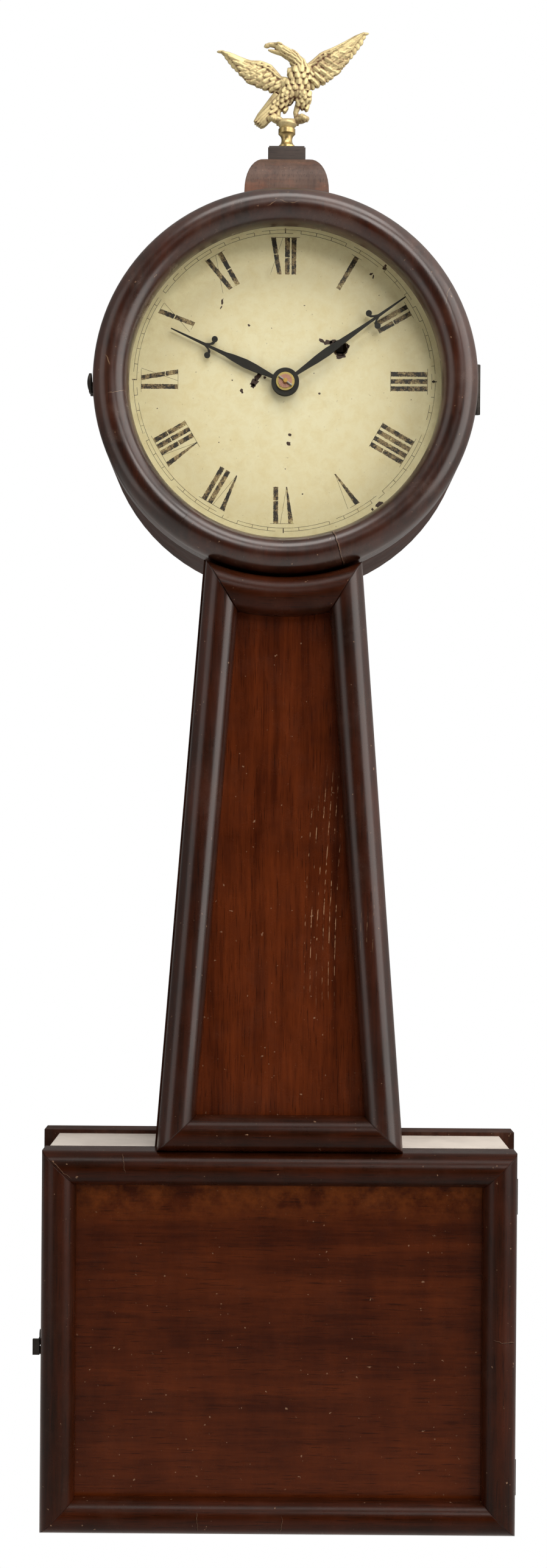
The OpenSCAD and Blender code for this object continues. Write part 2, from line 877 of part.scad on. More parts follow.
module great_wheel() color(brass) {
  difference() {
    layer(great_y[0], great_y[1]) difference() {
      gear(barrel_at, 96, great_module, toward(barrel_at, [0, 0]));
      crossings(barrel_at, 12.5, 28.5, 6, 3.6);
    }
    bar(barrel_at, 4 + run, great_y[0] - 1, great_y[1] + 1);
  }
  // Click, held on the wheel by its own stud, with its nose in the ratchet's path
  layer(great_y[1], great_y[1] + 1.6) translate(barrel_at) polygon([
    polar(11.2, 100), polar(12.6, 96), polar(13.4, 120), polar(13.8, 150), polar(11.4, 150), polar(11.4, 125)
  ]);
}

module barrel() color(brass) {
  ratchet_teeth = 18;
  bar(barrel_at, 7.2, great_y[1] + 0.3, drum_y[1]);
  layer(great_y[1] + 0.3, drum_y[0]) translate(barrel_at) polygon([
    for (i = [0:ratchet_teeth - 1], k = [0:1])
      polar(k == 0 ? 10.6 : 9.2, (i + k * 0.12) * 360 / ratchet_teeth)
  ]);
  bar(barrel_at, 10, drum_y[1], drum_y[1] + 1.2);
  bar(barrel_at, 4, great_y[0] - 0.9, great_y[1] + 0.4);
  bar(barrel_at, 5.5, back_plate_y[1] + 0.2, great_y[0] - 0.3);
  bar(barrel_at, barrel_pivot_r, back_plate_y[0], front_plate_y[1]);
  bar(barrel_at, 4, drum_y[1] + 1, front_plate_y[0] - 0.2);
  square_bar(barrel_at, 3.6, front_plate_y[1] - 1, 67.8);
}

module centre_wheel() color(brass) {
  centre_wheel_on_arbor();
  difference() {
    bar([0, 0], 1.2, front_plate_y[1] - 1, 78.4);
    hand_pin();
  }
}

module centre_wheel_on_arbor() {
  layer(centre_y[0], centre_y[1]) difference() {
    gear([0, 0], 80, third_module, toward([0, 0], third_at));
    crossings([0, 0], 5.5, 20, 4, 2.6);
  }
  layer(great_y[0] - 0.8, great_y[1] + 1.2)
    gear([0, 0], 8, great_module, toward([0, 0], barrel_at) + 22.5, 0.72, 0.72, 1.0);
  bar([0, 0], 2.2, great_y[1] + 1, front_plate_y[0] - 0.2);
  bar([0, 0], centre_pivot_r, back_plate_y[0], front_plate_y[1]);
}

module third_wheel() color(brass) {
  layer(third_y[0], third_y[1]) difference() {
    gear(third_at, 64, escape_module, toward(third_at, escape_at));
    crossings(third_at, 4.5, 14.3, 4, 2.2);
  }
  layer(centre_y[0] - 0.8, centre_y[1] + 0.8)
    gear(third_at, 8, third_module, toward(third_at, [0, 0]) + 22.5, 0.72, 0.72, 1.0);
  arbor(third_at, 1.3);
}

module escape_wheel() color(brass) {
  teeth = 30;
  layer(escape_y[0], escape_y[1]) translate(escape_at) difference() {
    polygon([
      for (i = [0:teeth - 1], k = [0:2])
        polar(k == 1 ? escape_tip_r : 13.9, (i + [0, 0.42, 0.5][k]) * 360 / teeth)
    ]);
    crossings([0, 0], 4, 12, 4, 1.8);
  }
  layer(third_y[0] - 0.8, third_y[1] + 0.8)
    gear(escape_at, 8, escape_module, toward(escape_at, third_at) + 22.5, 0.72, 0.72, 1.0);
  arbor(escape_at, 1.2);
}

module pallets() color(steel) {
  layer(escape_y[0], escape_y[1]) difference() {
    union() {
      translate(pallet_at) circle(r = 3.4);
      mirrored_2d() polygon([
        [-1, pendulum_z + 3], [-9, pendulum_z + 0.5], [-17.6, pendulum_z - 7.5], [-16.4, pendulum_z - 13.5],
        [-12, pendulum_z - 12.6], [-12.6, pendulum_z - 8.5], [-7.5, pendulum_z - 3.6], [-1, pendulum_z - 2.6]
      ]);
    }
    translate(escape_at) circle(r = escape_tip_r + 1.3);
  }
  arbor(pallet_at, 1.3);
  bar(pallet_at, pivot_r, front_plate_y[1] - 1, 60.4);
}

module mirrored_2d() {
  children();
  mirror([1, 0]) children();
}

crutch_z = 36;

module crutch() color(steel) {
  difference() {
    union() {
      bar(pallet_at, 3, 58.4, 60.4);
      block([-1.5, 1.5], [58.6, 60.1], [crutch_z - 2, pendulum_z - 1]);
    }
    bar(pallet_at, pivot_r, 57, 61);
  }
  bar([0, crutch_z], 0.8, 60, 67.2);
}

// ---- Motion work and hands ----

module cannon_pinion() color(brass) {
  difference() {
    union() {
      layer(cannon_y[0], cannon_y[1])
        gear([0, 0], 24, motion_module, toward([0, 0], minute_wheel_at) + 7.5, 0.76);
      bar([0, 0], 2, cannon_y[0], minute_hand_y[1]);
    }
    bar([0, 0], 1.2, cannon_y[0] - 1, minute_hand_y[1] + 1);
  }
}

module minute_wheel() color(brass) {
  difference() {
    union() {
      layer(cannon_y[0], cannon_y[1]) difference() {
        gear(minute_wheel_at, 72, motion_module, toward(minute_wheel_at, [0, 0]));
        crossings(minute_wheel_at, 6.5, 14.6, 4, 2.4);
      }
      layer(cannon_y[1], 63)
        gear(minute_wheel_at, 12, hour_module, toward(minute_wheel_at, [0, 0]) + 15, 0.76);
    }
    bar(minute_wheel_at, 1.5 + run, cannon_y[0] - 1, 64);
  }
}

module minute_post() color(steel) {
  bar(minute_wheel_at, 1.5, front_plate_y[0], 63.6);
  bar(minute_wheel_at, 2.3, 63.2, 64.2);
  bar(minute_wheel_at, 2.3, front_plate_y[1], cannon_y[0] - 0.15);
}

module hour_wheel() color(brass) {
  difference() {
    union() {
      layer(hour_wheel_y[0], hour_wheel_y[1]) difference() {
        gear([0, 0], 48, hour_module, toward([0, 0], minute_wheel_at), 0.8);
        crossings([0, 0], 5.5, 15.6, 4, 2.6);
      }
      bar([0, 0], 3.4, hour_wheel_y[0] - 0.4, hour_hand_y[1]);
    }
    bar([0, 0], 2 + run, hour_wheel_y[0] - 2, hour_hand_y[1] + 1);
  }
}

// Right edge of a hand pointing up: belly, waist, a curled arm with a ball end and a thin tip.
// scroll is the height of the balls, arm their distance from the hand's centre line.
function hand_edge(tip, scroll, arm, belly) = concat(
  [
    [0.95, 7], [belly * 0.63, tip * 0.18], [belly * 0.88, tip * 0.26], [belly, tip * 0.35],
    [belly * 0.74, tip * 0.46], [belly * 0.45, scroll - 9], [0.8, scroll - 2], [0.78, scroll + 1.5],
    [1.1, scroll + 0.9], [1.8, scroll - 0.3], [2.4, scroll - 0.7]
  ],
  [for (i = [0:14]) [arm, scroll + 0.1] + polar(1.75, 215 + i * 310 / 14)],
  [[2.1, scroll + 1.2], [1.7, scroll + 1.8], [0.85, scroll + 3.8], [0.75, scroll + 6], [0.3, tip]]
);

module hand_outline(tip, scroll, arm, belly) {
  edge = hand_edge(tip, scroll, arm, belly);
  difference() {
    union() {
      circle(r = 7.8);
      polygon(concat(edge, [for (i = [len(edge) - 1:-1:0]) [-edge[i][0], edge[i][1]]]));
    }
    children();
  }
}

module minute_hand() color("#1c1c20") {
  layer(minute_hand_y[0], minute_hand_y[1]) rotate(-minute_angle)
    hand_outline(minute_len, minute_len - 22.4, 4.3, 2.35) circle(r = 2);
}

module hour_hand() color("#1c1c20") {
  layer(hour_hand_y[0], hour_hand_y[1]) rotate(-hour_angle)
    hand_outline(hour_len, hour_len - 25.1, 5, 2.5) circle(r = 3.4);
}

module hand_collet() color(brass) {
  difference() {
    union() {
      bar([0, 0], 5.2, minute_hand_y[1], 76.1);
      bar([0, 0], 3.9, 76.1, 76.6);
    }
    bar([0, 0], 1.2, 75, 78);
  }
}

// Taper pin through the end of the centre arbor
module hand_pin() color(steel) {
  translate([0, -77.4, 0]) rotate([0, 125, 0]) translate([0, 0, -4.6])
    cylinder(r1 = 0.42, r2 = 0.55, h = 9.2);
}

// ---- Pendulum ----

module pendulum_rod() color(brass) {
  loop_half = 11;
  difference() {
    union() {
      bar(pallet_at, 1.9, rod_y[0], rod_y[1]);
      block([-0.3, 0.3], rod_y, [50, pendulum_z - 1]);
      block([-2.5, 2.5], rod_y, [16, 53]);
      layer(rod_y[0], rod_y[1]) difference() {
        polygon([[-13.5, 19], [13.5, 19], [11.5, -19], [-11.5, -19]]);
        polygon([[-loop_half, 16.4], [loop_half, 16.4], [loop_half - 2, -16.4], [-loop_half + 2, -16.4]]);
      }
      block([-2, 2], rod_y, [bob_z - bob_r - 4, -18]);
    }
    bar(pallet_at, 0.8 + run, rod_y[0] - 1, rod_y[1] + 1);
    block([-0.9, 0.9], [rod_y[0] - 1, rod_y[1] + 1], [crutch_z - 3, crutch_z + 3]);
  }
  translate([0, -(rod_y[0] + rod_y[1]) / 2, bob_z - bob_r - 20]) cylinder(r = 1.2, h = 17);
  // Rating nut under the bob
  translate([0, -(rod_y[0] + rod_y[1]) / 2, bob_z - bob_r - 9]) cylinder(r = 5, h = 4);
}

module pendulum_bob() color(brass) {
  difference() {
    translate([0, -(rod_y[0] + rod_y[1]) / 2, bob_z]) rotate([90, 0, 0]) rotate_extrude() polygon([
      [0, -7.5], [20, -6], [35, -3.4], [bob_r - 1, -0.8], [bob_r, 0],
      [bob_r - 1, 0.8], [35, 3.4], [20, 6], [0, 7.5]
    ]);
    block([-2.1, 2.1], [rod_y[0] - 0.1, rod_y[1] + 0.1], [bob_z - bob_r - 1, bob_z + bob_r + 1]);
  }
}

// ---- Weight ----

module weight() color(iron) {
  w = weight_w / 2;
  pin_at = [pulley_x, pulley_z];
  block([pulley_x - w, pulley_x + w], [cord_y - 13, cord_y + 13], [weight_top_z - weight_h, weight_top_z]);
  for (y = [cord_y - 4.4, cord_y + 3.2]) {
    block([pulley_x - 4, pulley_x + 4], [y, y + 1.2], [weight_top_z - 1, pulley_z + 3]);
  }
  bar(pin_at, 1.5, cord_y - 4.4, cord_y + 4.4);
}

module weight_pulley() color(brass) {
  translate([pulley_x, -cord_y, pulley_z]) rotate([90, 0, 0]) rotate_extrude() difference() {
    polygon([[1.5 + run, -2.6], [pulley_r + 1.6, -2.6], [pulley_r + 1.6, 2.6], [1.5 + run, 2.6]]);
    translate([pulley_r + 1.2, 0]) circle(r = 1.8);
  }
}

cord_r = 0.5;

// From the barrel down, round the pulley and up to the hook
module weight_cord() color("#b8a27c") {
  down_x = pulley_x + pulley_r;
  up_x = pulley_x - pulley_r;
  translate([down_x, -cord_y, pulley_z]) cylinder(r = cord_r, h = barrel_z - pulley_z);
  translate([up_x, -cord_y, pulley_z]) cylinder(r = cord_r, h = hook_z - 1.5 - pulley_z);
  difference() {
    translate([pulley_x, -cord_y, pulley_z]) rotate([90, 0, 0]) rotate_extrude()
      translate([pulley_r, 0]) circle(r = cord_r);
    block([pulley_x - 20, pulley_x + 20], [cord_y - 2, cord_y + 2], [pulley_z, pulley_z + 20]);
  }
}

backboard();
head_ring();
throat_sides();
throat_stiles();
throat_rail_top();
throat_rail_bottom();
throat_panel();
box_sides();
box_top();
box_bottom();
finial_bracket();
finial_plinth();
finial_spool();
eagle();
weight_partition();
hanger_plate();
case_screws();
dial();
dial_screws();
back_plate();
front_plate();
plate_pillars();
plate_screws();
movement_spacers();
movement_screws();
pendulum_bridge();
hinge_case_leaves();
cord_hook();
weight_cord();
bezel_ring();
bezel_glass();
glass_putty();
bezel_hinge_leaf();
bezel_catch();
bezel_hook();
door_stiles();
door_rails();
door_panel();
door_hinge_leaves();
door_catch();
door_hook();
great_wheel();
barrel();
centre_wheel();
third_wheel();
escape_wheel();
pallets();
crutch();
cannon_pinion();
minute_hand();
hand_collet();
hand_pin();
minute_wheel();
minute_post();
hour_wheel();
hour_hand();
pendulum_rod();
pendulum_bob();
weight();
weight_pulley();
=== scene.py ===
"""Banjo clock: aged mahogany, painted dial, blackened hands and cast brass eagle on the CAD frame."""

import math
import random

import bpy
from mathutils import Matrix, Vector
from mathutils.bvhtree import BVHTree


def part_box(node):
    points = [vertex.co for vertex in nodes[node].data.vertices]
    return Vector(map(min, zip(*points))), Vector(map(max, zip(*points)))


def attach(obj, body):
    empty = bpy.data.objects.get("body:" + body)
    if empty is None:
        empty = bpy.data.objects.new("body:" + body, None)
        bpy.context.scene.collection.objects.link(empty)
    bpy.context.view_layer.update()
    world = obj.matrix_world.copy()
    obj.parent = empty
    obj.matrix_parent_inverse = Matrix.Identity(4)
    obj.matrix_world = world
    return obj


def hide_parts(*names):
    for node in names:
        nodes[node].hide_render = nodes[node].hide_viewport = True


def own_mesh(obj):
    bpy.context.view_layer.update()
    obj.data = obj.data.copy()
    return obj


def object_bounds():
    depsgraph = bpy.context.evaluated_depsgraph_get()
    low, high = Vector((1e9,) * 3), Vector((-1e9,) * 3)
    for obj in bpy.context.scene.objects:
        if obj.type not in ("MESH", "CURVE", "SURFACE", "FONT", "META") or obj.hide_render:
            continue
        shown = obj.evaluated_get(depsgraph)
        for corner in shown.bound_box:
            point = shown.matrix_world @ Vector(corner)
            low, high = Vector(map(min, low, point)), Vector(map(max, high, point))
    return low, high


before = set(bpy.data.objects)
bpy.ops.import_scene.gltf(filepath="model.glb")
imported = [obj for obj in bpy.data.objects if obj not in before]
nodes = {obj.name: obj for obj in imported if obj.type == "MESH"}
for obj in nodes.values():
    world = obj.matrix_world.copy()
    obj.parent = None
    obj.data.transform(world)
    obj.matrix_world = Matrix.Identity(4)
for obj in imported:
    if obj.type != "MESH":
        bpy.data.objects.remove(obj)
cad_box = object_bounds()
MM = 0.001


def middle(node):
    low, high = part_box(node)
    return (low + high) / 2


def placed(name, data):
    """A new object in the scene."""
    thing = bpy.data.objects.new(name, data)
    bpy.context.scene.collection.objects.link(thing)
    return thing


# ---- Node trees ----


class Tree:
    """The node tree of a new material or world, with short calls for the nodes used here."""

    def __init__(self, name, world=False):
        self.owner = (bpy.data.worlds if world else bpy.data.materials).new(name)
        self.owner.use_nodes = True
        self.nodes = self.owner.node_tree.nodes
        self.links = self.owner.node_tree.links
        self.nodes.clear()
        self.end = "ShaderNodeOutputWorld" if world else "ShaderNodeOutputMaterial"
        self.place = self.add("ShaderNodeTexCoord").outputs["Generated" if world else "Object"]

    def add(self, kind, inputs=(), **settings):
        node = self.nodes.new(kind)
        for key, value in settings.items():
            setattr(node, key, value)
        for key, value in dict(inputs).items():
            self.feed(node.inputs[key], value)
        return node

    def feed(self, socket, value):
        if isinstance(value, bpy.types.NodeSocket):
            self.links.new(value, socket)
        elif isinstance(value, (tuple, list)) and socket.type == "RGBA" and len(value) == 3:
            socket.default_value = (*value, 1)
        else:
            socket.default_value = value

    def math(self, operation, a, b=0.0, clamp=False):
        node = self.add("ShaderNodeMath", {0: a, 1: b}, operation=operation, use_clamp=clamp)
        return node.outputs[0]

    def times(self, a, b):
        return self.math("MULTIPLY", a, b)

    def plus(self, a, b):
        return self.math("ADD", a, b)

    def minus(self, a, b):
        return self.math("SUBTRACT", a, b)

    def scaled(self, scale, shift=(0, 0, 0)):
        inputs = {"Vector": self.place, "Scale": scale, "Location": shift}
        return self.add("ShaderNodeMapping", inputs).outputs[0]

    def noise(self, scale, detail=4.0, rough=0.55, warp=0.0, where=None):
        where = self.place if where is None else where
        inputs = {"Vector": where, "Scale": scale, "Detail": detail}
        inputs |= {"Roughness": rough, "Distortion": warp}
        return self.add("ShaderNodeTexNoise", inputs).outputs["Fac"]

    def span(self, value, low, high, to_low=0.0, to_high=1.0):
        inputs = {0: value, 1: low, 2: high, 3: to_low, 4: to_high}
        return self.add("ShaderNodeMapRange", inputs, clamp=True).outputs[0]

    def mix(self, share, a, b, blend="MIX"):
        node = self.add("ShaderNodeMix", data_type="RGBA", blend_type=blend)
        self.feed(node.inputs[0], share)
        self.feed(node.inputs[6], a)
        self.feed(node.inputs[7], b)
        return node.outputs[2]

    def axes(self):
        split = self.add("ShaderNodeSeparateXYZ", {0: self.place})
        return split.outputs[0], split.outputs[1], split.outputs[2]

    def bump(self, height, strength, distance, normal=None):
        inputs = {"Height": height, "Strength": strength, "Distance": distance}
        if normal is not None:
            inputs["Normal"] = normal
        return self.add("ShaderNodeBump", inputs).outputs[0]

    def output(self, shader):
        self.add(self.end, {0: shader.outputs[0]})
        return self.owner

    def split(self, share, first, second):
        """Ends the tree in a mix of two shaders."""
        inputs = {0: share, 1: first.outputs[0], 2: second.outputs[0]}
        return self.output(self.add("ShaderNodeMixShader", inputs))

    def finish(self, color, rough, metallic=0.0, **more):
        inputs = {"Base Color": color, "Roughness": rough, "Metallic": metallic, **more}
        return self.output(self.add("ShaderNodeBsdfPrincipled", inputs))


def srgb(r, g, b):
    """Linear colour of an sRGB colour given as 0 to 255."""
    values = [v / 255 for v in (r, g, b)]
    return tuple(v / 12.92 if v < 0.04045 else ((v + 0.055) / 1.055) ** 2.4 for v in values)


def crack_mask(t, start, end, width):
    """1 on a thin wandering line from start to end in the XZ plane, in metres."""
    x, _, z = t.axes()
    wander = t.times(t.minus(t.noise(160.0), 0.5), 0.004)
    length = math.hypot(end[0] - start[0], end[1] - start[1])
    ux, uz = (end[0] - start[0]) / length, (end[1] - start[1]) / length
    dx, dz = t.minus(x, start[0]), t.minus(z, start[1])
    along = t.plus(t.times(dx, ux), t.times(dz, uz))
    across = t.minus(t.times(dx, uz), t.times(dz, ux))
    across = t.math("ABSOLUTE", t.plus(across, wander))
    near = t.span(across, 0.0, width, 1.0, 0.0)
    fade = 0.002
    inside = t.times(t.span(along, 0.0, fade), t.span(along, length - fade, length, 1.0, 0.0))
    return t.times(near, inside)


def pore_lines(t, left, right, low, high):
    """1 on pale dotted grain lines inside an upright XZ region, in metres."""
    x, _, z = t.axes()
    spacing, edge = 0.0034, 0.003
    bend = t.times(t.math("SINE", t.times(z, 14.0)), 0.005)
    drift = t.plus(x, bend)
    lines = t.math("SINE", t.times(drift, 2 * math.pi / spacing))
    dots = t.span(t.noise(900.0, 2.0, where=t.scaled((1, 1, 0.25))), 0.53, 0.60)
    region = t.times(t.span(drift, left, left + edge), t.span(drift, right - edge, right, 1.0, 0.0))
    region = t.times(region, t.span(z, low, low + 0.04))
    region = t.times(region, t.span(z, high - 0.03, high, 1.0, 0.0))
    return t.times(t.times(t.span(lines, 0.90, 0.99), dots), region)


def wood(name, dark, light, grain, gloss, coat, haze, cracks=(), cross=0.25, extra=None, shine=0.25):
    """Old polished mahogany. gloss is roughness, haze wear, cross the figure; extra adds marks."""
    t = Tree(name)
    long_grain = {"x": (0.06, 1, 1), "z": (1, 1, 0.06)}[grain]
    pore_scale = {"x": (0.04, 1, 1), "z": (1, 1, 0.04)}[grain]
    along = t.scaled(long_grain, (0.31, 0.17, 0.23))
    cloud = t.noise(14.0, 4.0, 0.6, 0.4)
    flame = t.noise(60.0, 5.0, 0.65, where=t.scaled((1, 1, 0.35) if grain == "x" else (0.6, 1, 0.5)))
    band = t.noise(90.0, 5.0, 0.65, 0.5, along)
    fine = t.noise(520.0, 4.0, 0.6, where=along)
    pore = t.span(t.noise(1700.0, 2.0, 0.5, where=t.scaled(pore_scale)), 0.60, 0.68)
    tone = t.plus(t.times(band, 0.5), t.times(fine, 0.25))
    tone = t.plus(tone, t.times(cloud, 0.4))
    tone = t.plus(tone, t.times(flame, cross))
    color = t.mix(t.span(tone, 0.50 + cross / 3, 0.86 + cross / 2), dark, light)
    color = t.mix(t.times(pore, 0.6), color, [c * 0.3 for c in dark])
    specks = t.span(t.noise(420.0, 2.0, 0.5), 0.735, 0.76)
    color = t.mix(t.times(specks, 0.5), color, srgb(150, 120, 96))
    worn = t.noise(38.0, 6.0, 0.7)
    color = t.mix(t.times(t.span(worn, 0.52, 0.72), haze), color, srgb(112, 88, 74))
    if extra is not None:
        color = extra(t, color)
    rough = t.span(t.noise(55.0, 5.0, 0.7), 0.3, 0.75, gloss - 0.05, gloss + 0.08)
    height = t.minus(t.times(fine, 0.3), t.times(pore, 0.2))
    height = t.plus(height, t.times(t.noise(70.0, 3.0), 0.7))
    polish = 1.0
    for start, end, width in cracks:
        # painted highlight: a pale line beside each crack, offset up and to the right, as its lit edge
        lit_crack_edge = crack_mask(t, (start[0] + width, start[1] + width), (end[0] + width, end[1] + width), width)
        color = t.mix(t.times(lit_crack_edge, 0.6), color, srgb(118, 92, 74))
        mask = crack_mask(t, start, end, width)
        color = t.mix(mask, color, (0.003, 0.0015, 0.001))
        height = t.minus(height, t.times(mask, 3.0))
        polish = t.times(polish, t.minus(1.0, mask))
    soft = t.add("ShaderNodeBevel", {"Radius": 0.0009}, samples=4).outputs[0]
    return t.finish(
        color, rough,
        Normal=t.bump(height, 0.25, 0.0002, soft),
        **{
            "Coat Weight": t.times(polish, coat),
            "Coat Roughness": t.span(worn, 0.35, 0.75, 0.16, 0.32),
            "Coat Normal": t.bump(t.noise(40.0, 3.0), 0.08, 0.0006, soft),
            "Specular IOR Level": t.times(polish, shine),
        }
    )


def metal(name, color, worn, rough=0.3, brushed=0.4, tarnish=None, scale=1.0, metallic=1.0):
    """Worked metal: fine brush marks, cloudy tarnish and small spots."""
    t = Tree(name)
    cloud = t.noise(45.0 * scale, 5.0, 0.65)
    marks = t.noise(900.0 * scale, 3.0, where=t.scaled((1, 1, 0.08)))
    spots = t.span(t.noise(260.0 * scale, 4.0, 0.7), 0.60, 0.74)
    tint = t.mix(t.span(cloud, 0.35, 0.70), color, worn)
    tint = t.mix(t.times(spots, 0.5), tint, tarnish or [c * 0.4 for c in worn])
    roughness = t.plus(t.span(cloud, 0.3, 0.7, rough - 0.06, rough + 0.12), t.times(marks, 0.08))
    soft = t.add("ShaderNodeBevel", {"Radius": 0.0003}, samples=3).outputs[0]
    height = t.plus(t.times(marks, brushed), t.times(spots, 0.5))
    normal = t.bump(height, 0.25, 0.0001, soft)
    return t.finish(tint, roughness, metallic, Normal=normal)


def cast_brass(name, raised, hollow):
    """Old cast brass: pale on the raised feathers, reddish brown in the hollows and in tarnished patches."""
    t = Tree(name)
    near = t.add("ShaderNodeAmbientOcclusion", {"Distance": 0.0012}, samples=8, only_local=True).outputs["AO"]
    wide = t.add("ShaderNodeAmbientOcclusion", {"Distance": 0.006}, samples=8, only_local=True).outputs["AO"]
    grime = t.noise(350.0, 5.0, 0.7)
    patch = t.span(t.noise(85.0, 4.0, 0.6), 0.50, 0.66)
    edge = t.add("ShaderNodeNewGeometry").outputs["Pointiness"]
    shut = t.plus(t.span(near, 0.62, 0.97, 1.0, 0.0), t.span(wide, 0.35, 0.75, 0.3, 0.0))
    shut = t.plus(shut, t.span(edge, 0.44, 0.50, 0.7, 0.0))
    shut = t.plus(shut, t.times(patch, 0.40))
    shut = t.minus(shut, t.span(edge, 0.51, 0.58, 0.0, 0.4))
    cavity = t.math("ADD", shut, t.span(grime, 0.3, 0.8, -0.20, 0.25), clamp=True)
    color = t.mix(cavity, raised, hollow)
    rough = t.plus(t.span(grime, 0.2, 0.8, 0.48, 0.62), t.times(cavity, 0.25))
    normal = t.bump(t.noise(900.0, 3.0), 0.15, 0.00015)
    metallic = t.span(cavity, 0.0, 1.0, 0.75, 0.35)
    return t.finish(color, rough, metallic, Normal=normal)


def dial_paint(name, centre, radius):
    """Cream enamel with painted light at the rim, paler there against the bezel's shadow, and mottling,
    stains, specks and hairline crazing.
    """
    t = Tree(name)
    x, _, z = t.axes()
    dx, dz = t.minus(x, centre[0]), t.minus(z, centre[2])
    away = t.math("SQRT", t.plus(t.times(dx, dx), t.times(dz, dz)))
    away = t.math("DIVIDE", away, radius)
    cloud = t.noise(22.0, 5.0, 0.6)
    away = t.plus(away, t.times(t.minus(cloud, 0.5), 0.14))
    color = t.mix(t.span(away, 0.25, 0.80), srgb(228, 219, 186), srgb(224, 212, 174))
    # painted light: the rim is made paler to offset the shadow of the bezel
    color = t.mix(t.span(away, 0.80, 1.05), color, srgb(244, 232, 186))
    mottle = t.noise(130.0, 6.0, 0.75, 0.4)
    color = t.mix(t.span(mottle, 0.42, 0.66, 0.0, 0.45), color, srgb(214, 194, 140))
    stain = t.span(t.noise(60.0, 6.0, 0.7), 0.58, 0.80)
    color = t.mix(t.times(stain, 0.35), color, srgb(190, 168, 118))
    specks = t.span(t.noise(700.0, 2.0, 0.5), 0.72, 0.78)
    color = t.mix(t.times(specks, 0.45), color, srgb(120, 96, 62))
    rough = t.span(cloud, 0.3, 0.7, 0.34, 0.50)
    cells = {"Vector": t.place, "Scale": 190.0}
    craze = t.add("ShaderNodeTexVoronoi", cells, feature="DISTANCE_TO_EDGE").outputs[0]
    height = t.plus(t.times(t.noise(90.0, 5.0), 0.6), t.span(craze, 0.0, 0.02, -0.2, 0.0))
    return t.finish(color, rough, Normal=t.bump(height, 0.15, 0.0003))


def worn_ink(name, ink, under, loss):
    """Old paint rubbed through to what is under it, and in places to the cream."""
    t = Tree(name)
    broad = t.noise(170.0, 4.0, 0.65)
    fine = t.noise(1300.0, 4.0, 0.7)
    level = t.plus(t.times(broad, 0.6), t.times(fine, 0.4))
    color = t.mix(t.span(level, loss, loss + 0.07), ink, under)
    color = t.mix(t.span(level, loss + 0.10, loss + 0.15), color, srgb(206, 192, 140))
    return t.finish(color, t.span(fine, 0.3, 0.7, 0.35, 0.6))


def clear_glass(name):
    """Thin old window glass: almost all light passes, a faint wavy reflection stays."""
    t = Tree(name)
    wave = t.bump(t.noise(14.0, 2.0), 0.04, 0.002)
    shine = t.add("ShaderNodeBsdfGlossy", {"Roughness": 0.03, "Normal": wave})
    through = t.add("ShaderNodeBsdfTransparent", {"Color": (0.975, 0.985, 0.97, 1)})
    facing = t.add("ShaderNodeLayerWeight", {"Blend": 0.12, "Normal": wave}).outputs["Fresnel"]
    share = t.times(facing, 0.35)
    return t.split(share, through, shine)


def plain_fibre(name, color, other, scale):
    t = Tree(name)
    strands = t.noise(scale, 4.0, 0.6, 0.8, t.scaled((1, 1, 0.4)))
    normal = t.bump(strands, 0.5, 0.0002)
    return t.finish(t.mix(strands, color, other), 0.75, Normal=normal)


# ---- Mesh helpers ----


def make_piece(name, verts, faces, body, material, smooth=False):
    mesh = bpy.data.meshes.new(name)
    mesh.from_pydata([tuple(v) for v in verts], [], faces)
    mesh.update()
    return adopt(name, mesh, body, material, smooth)


def adopt(name, mesh, body, material, smooth):
    piece = placed(name, mesh)
    mesh.materials.clear()
    mesh.materials.append(material)
    mesh.polygons.foreach_set("use_smooth", [smooth] * len(mesh.polygons))
    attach(piece, body)
    return piece


def quads(rows, sides, flip=False):
    """Faces that join rows + 1 rings, each of sides points."""
    faces = []
    for i in range(rows):
        for k in range(sides):
            a, b = i * sides + k, i * sides + (k + 1) % sides
            faces.append((a, a + sides, b + sides, b) if flip else (a, b, b + sides, a + sides))
    return faces


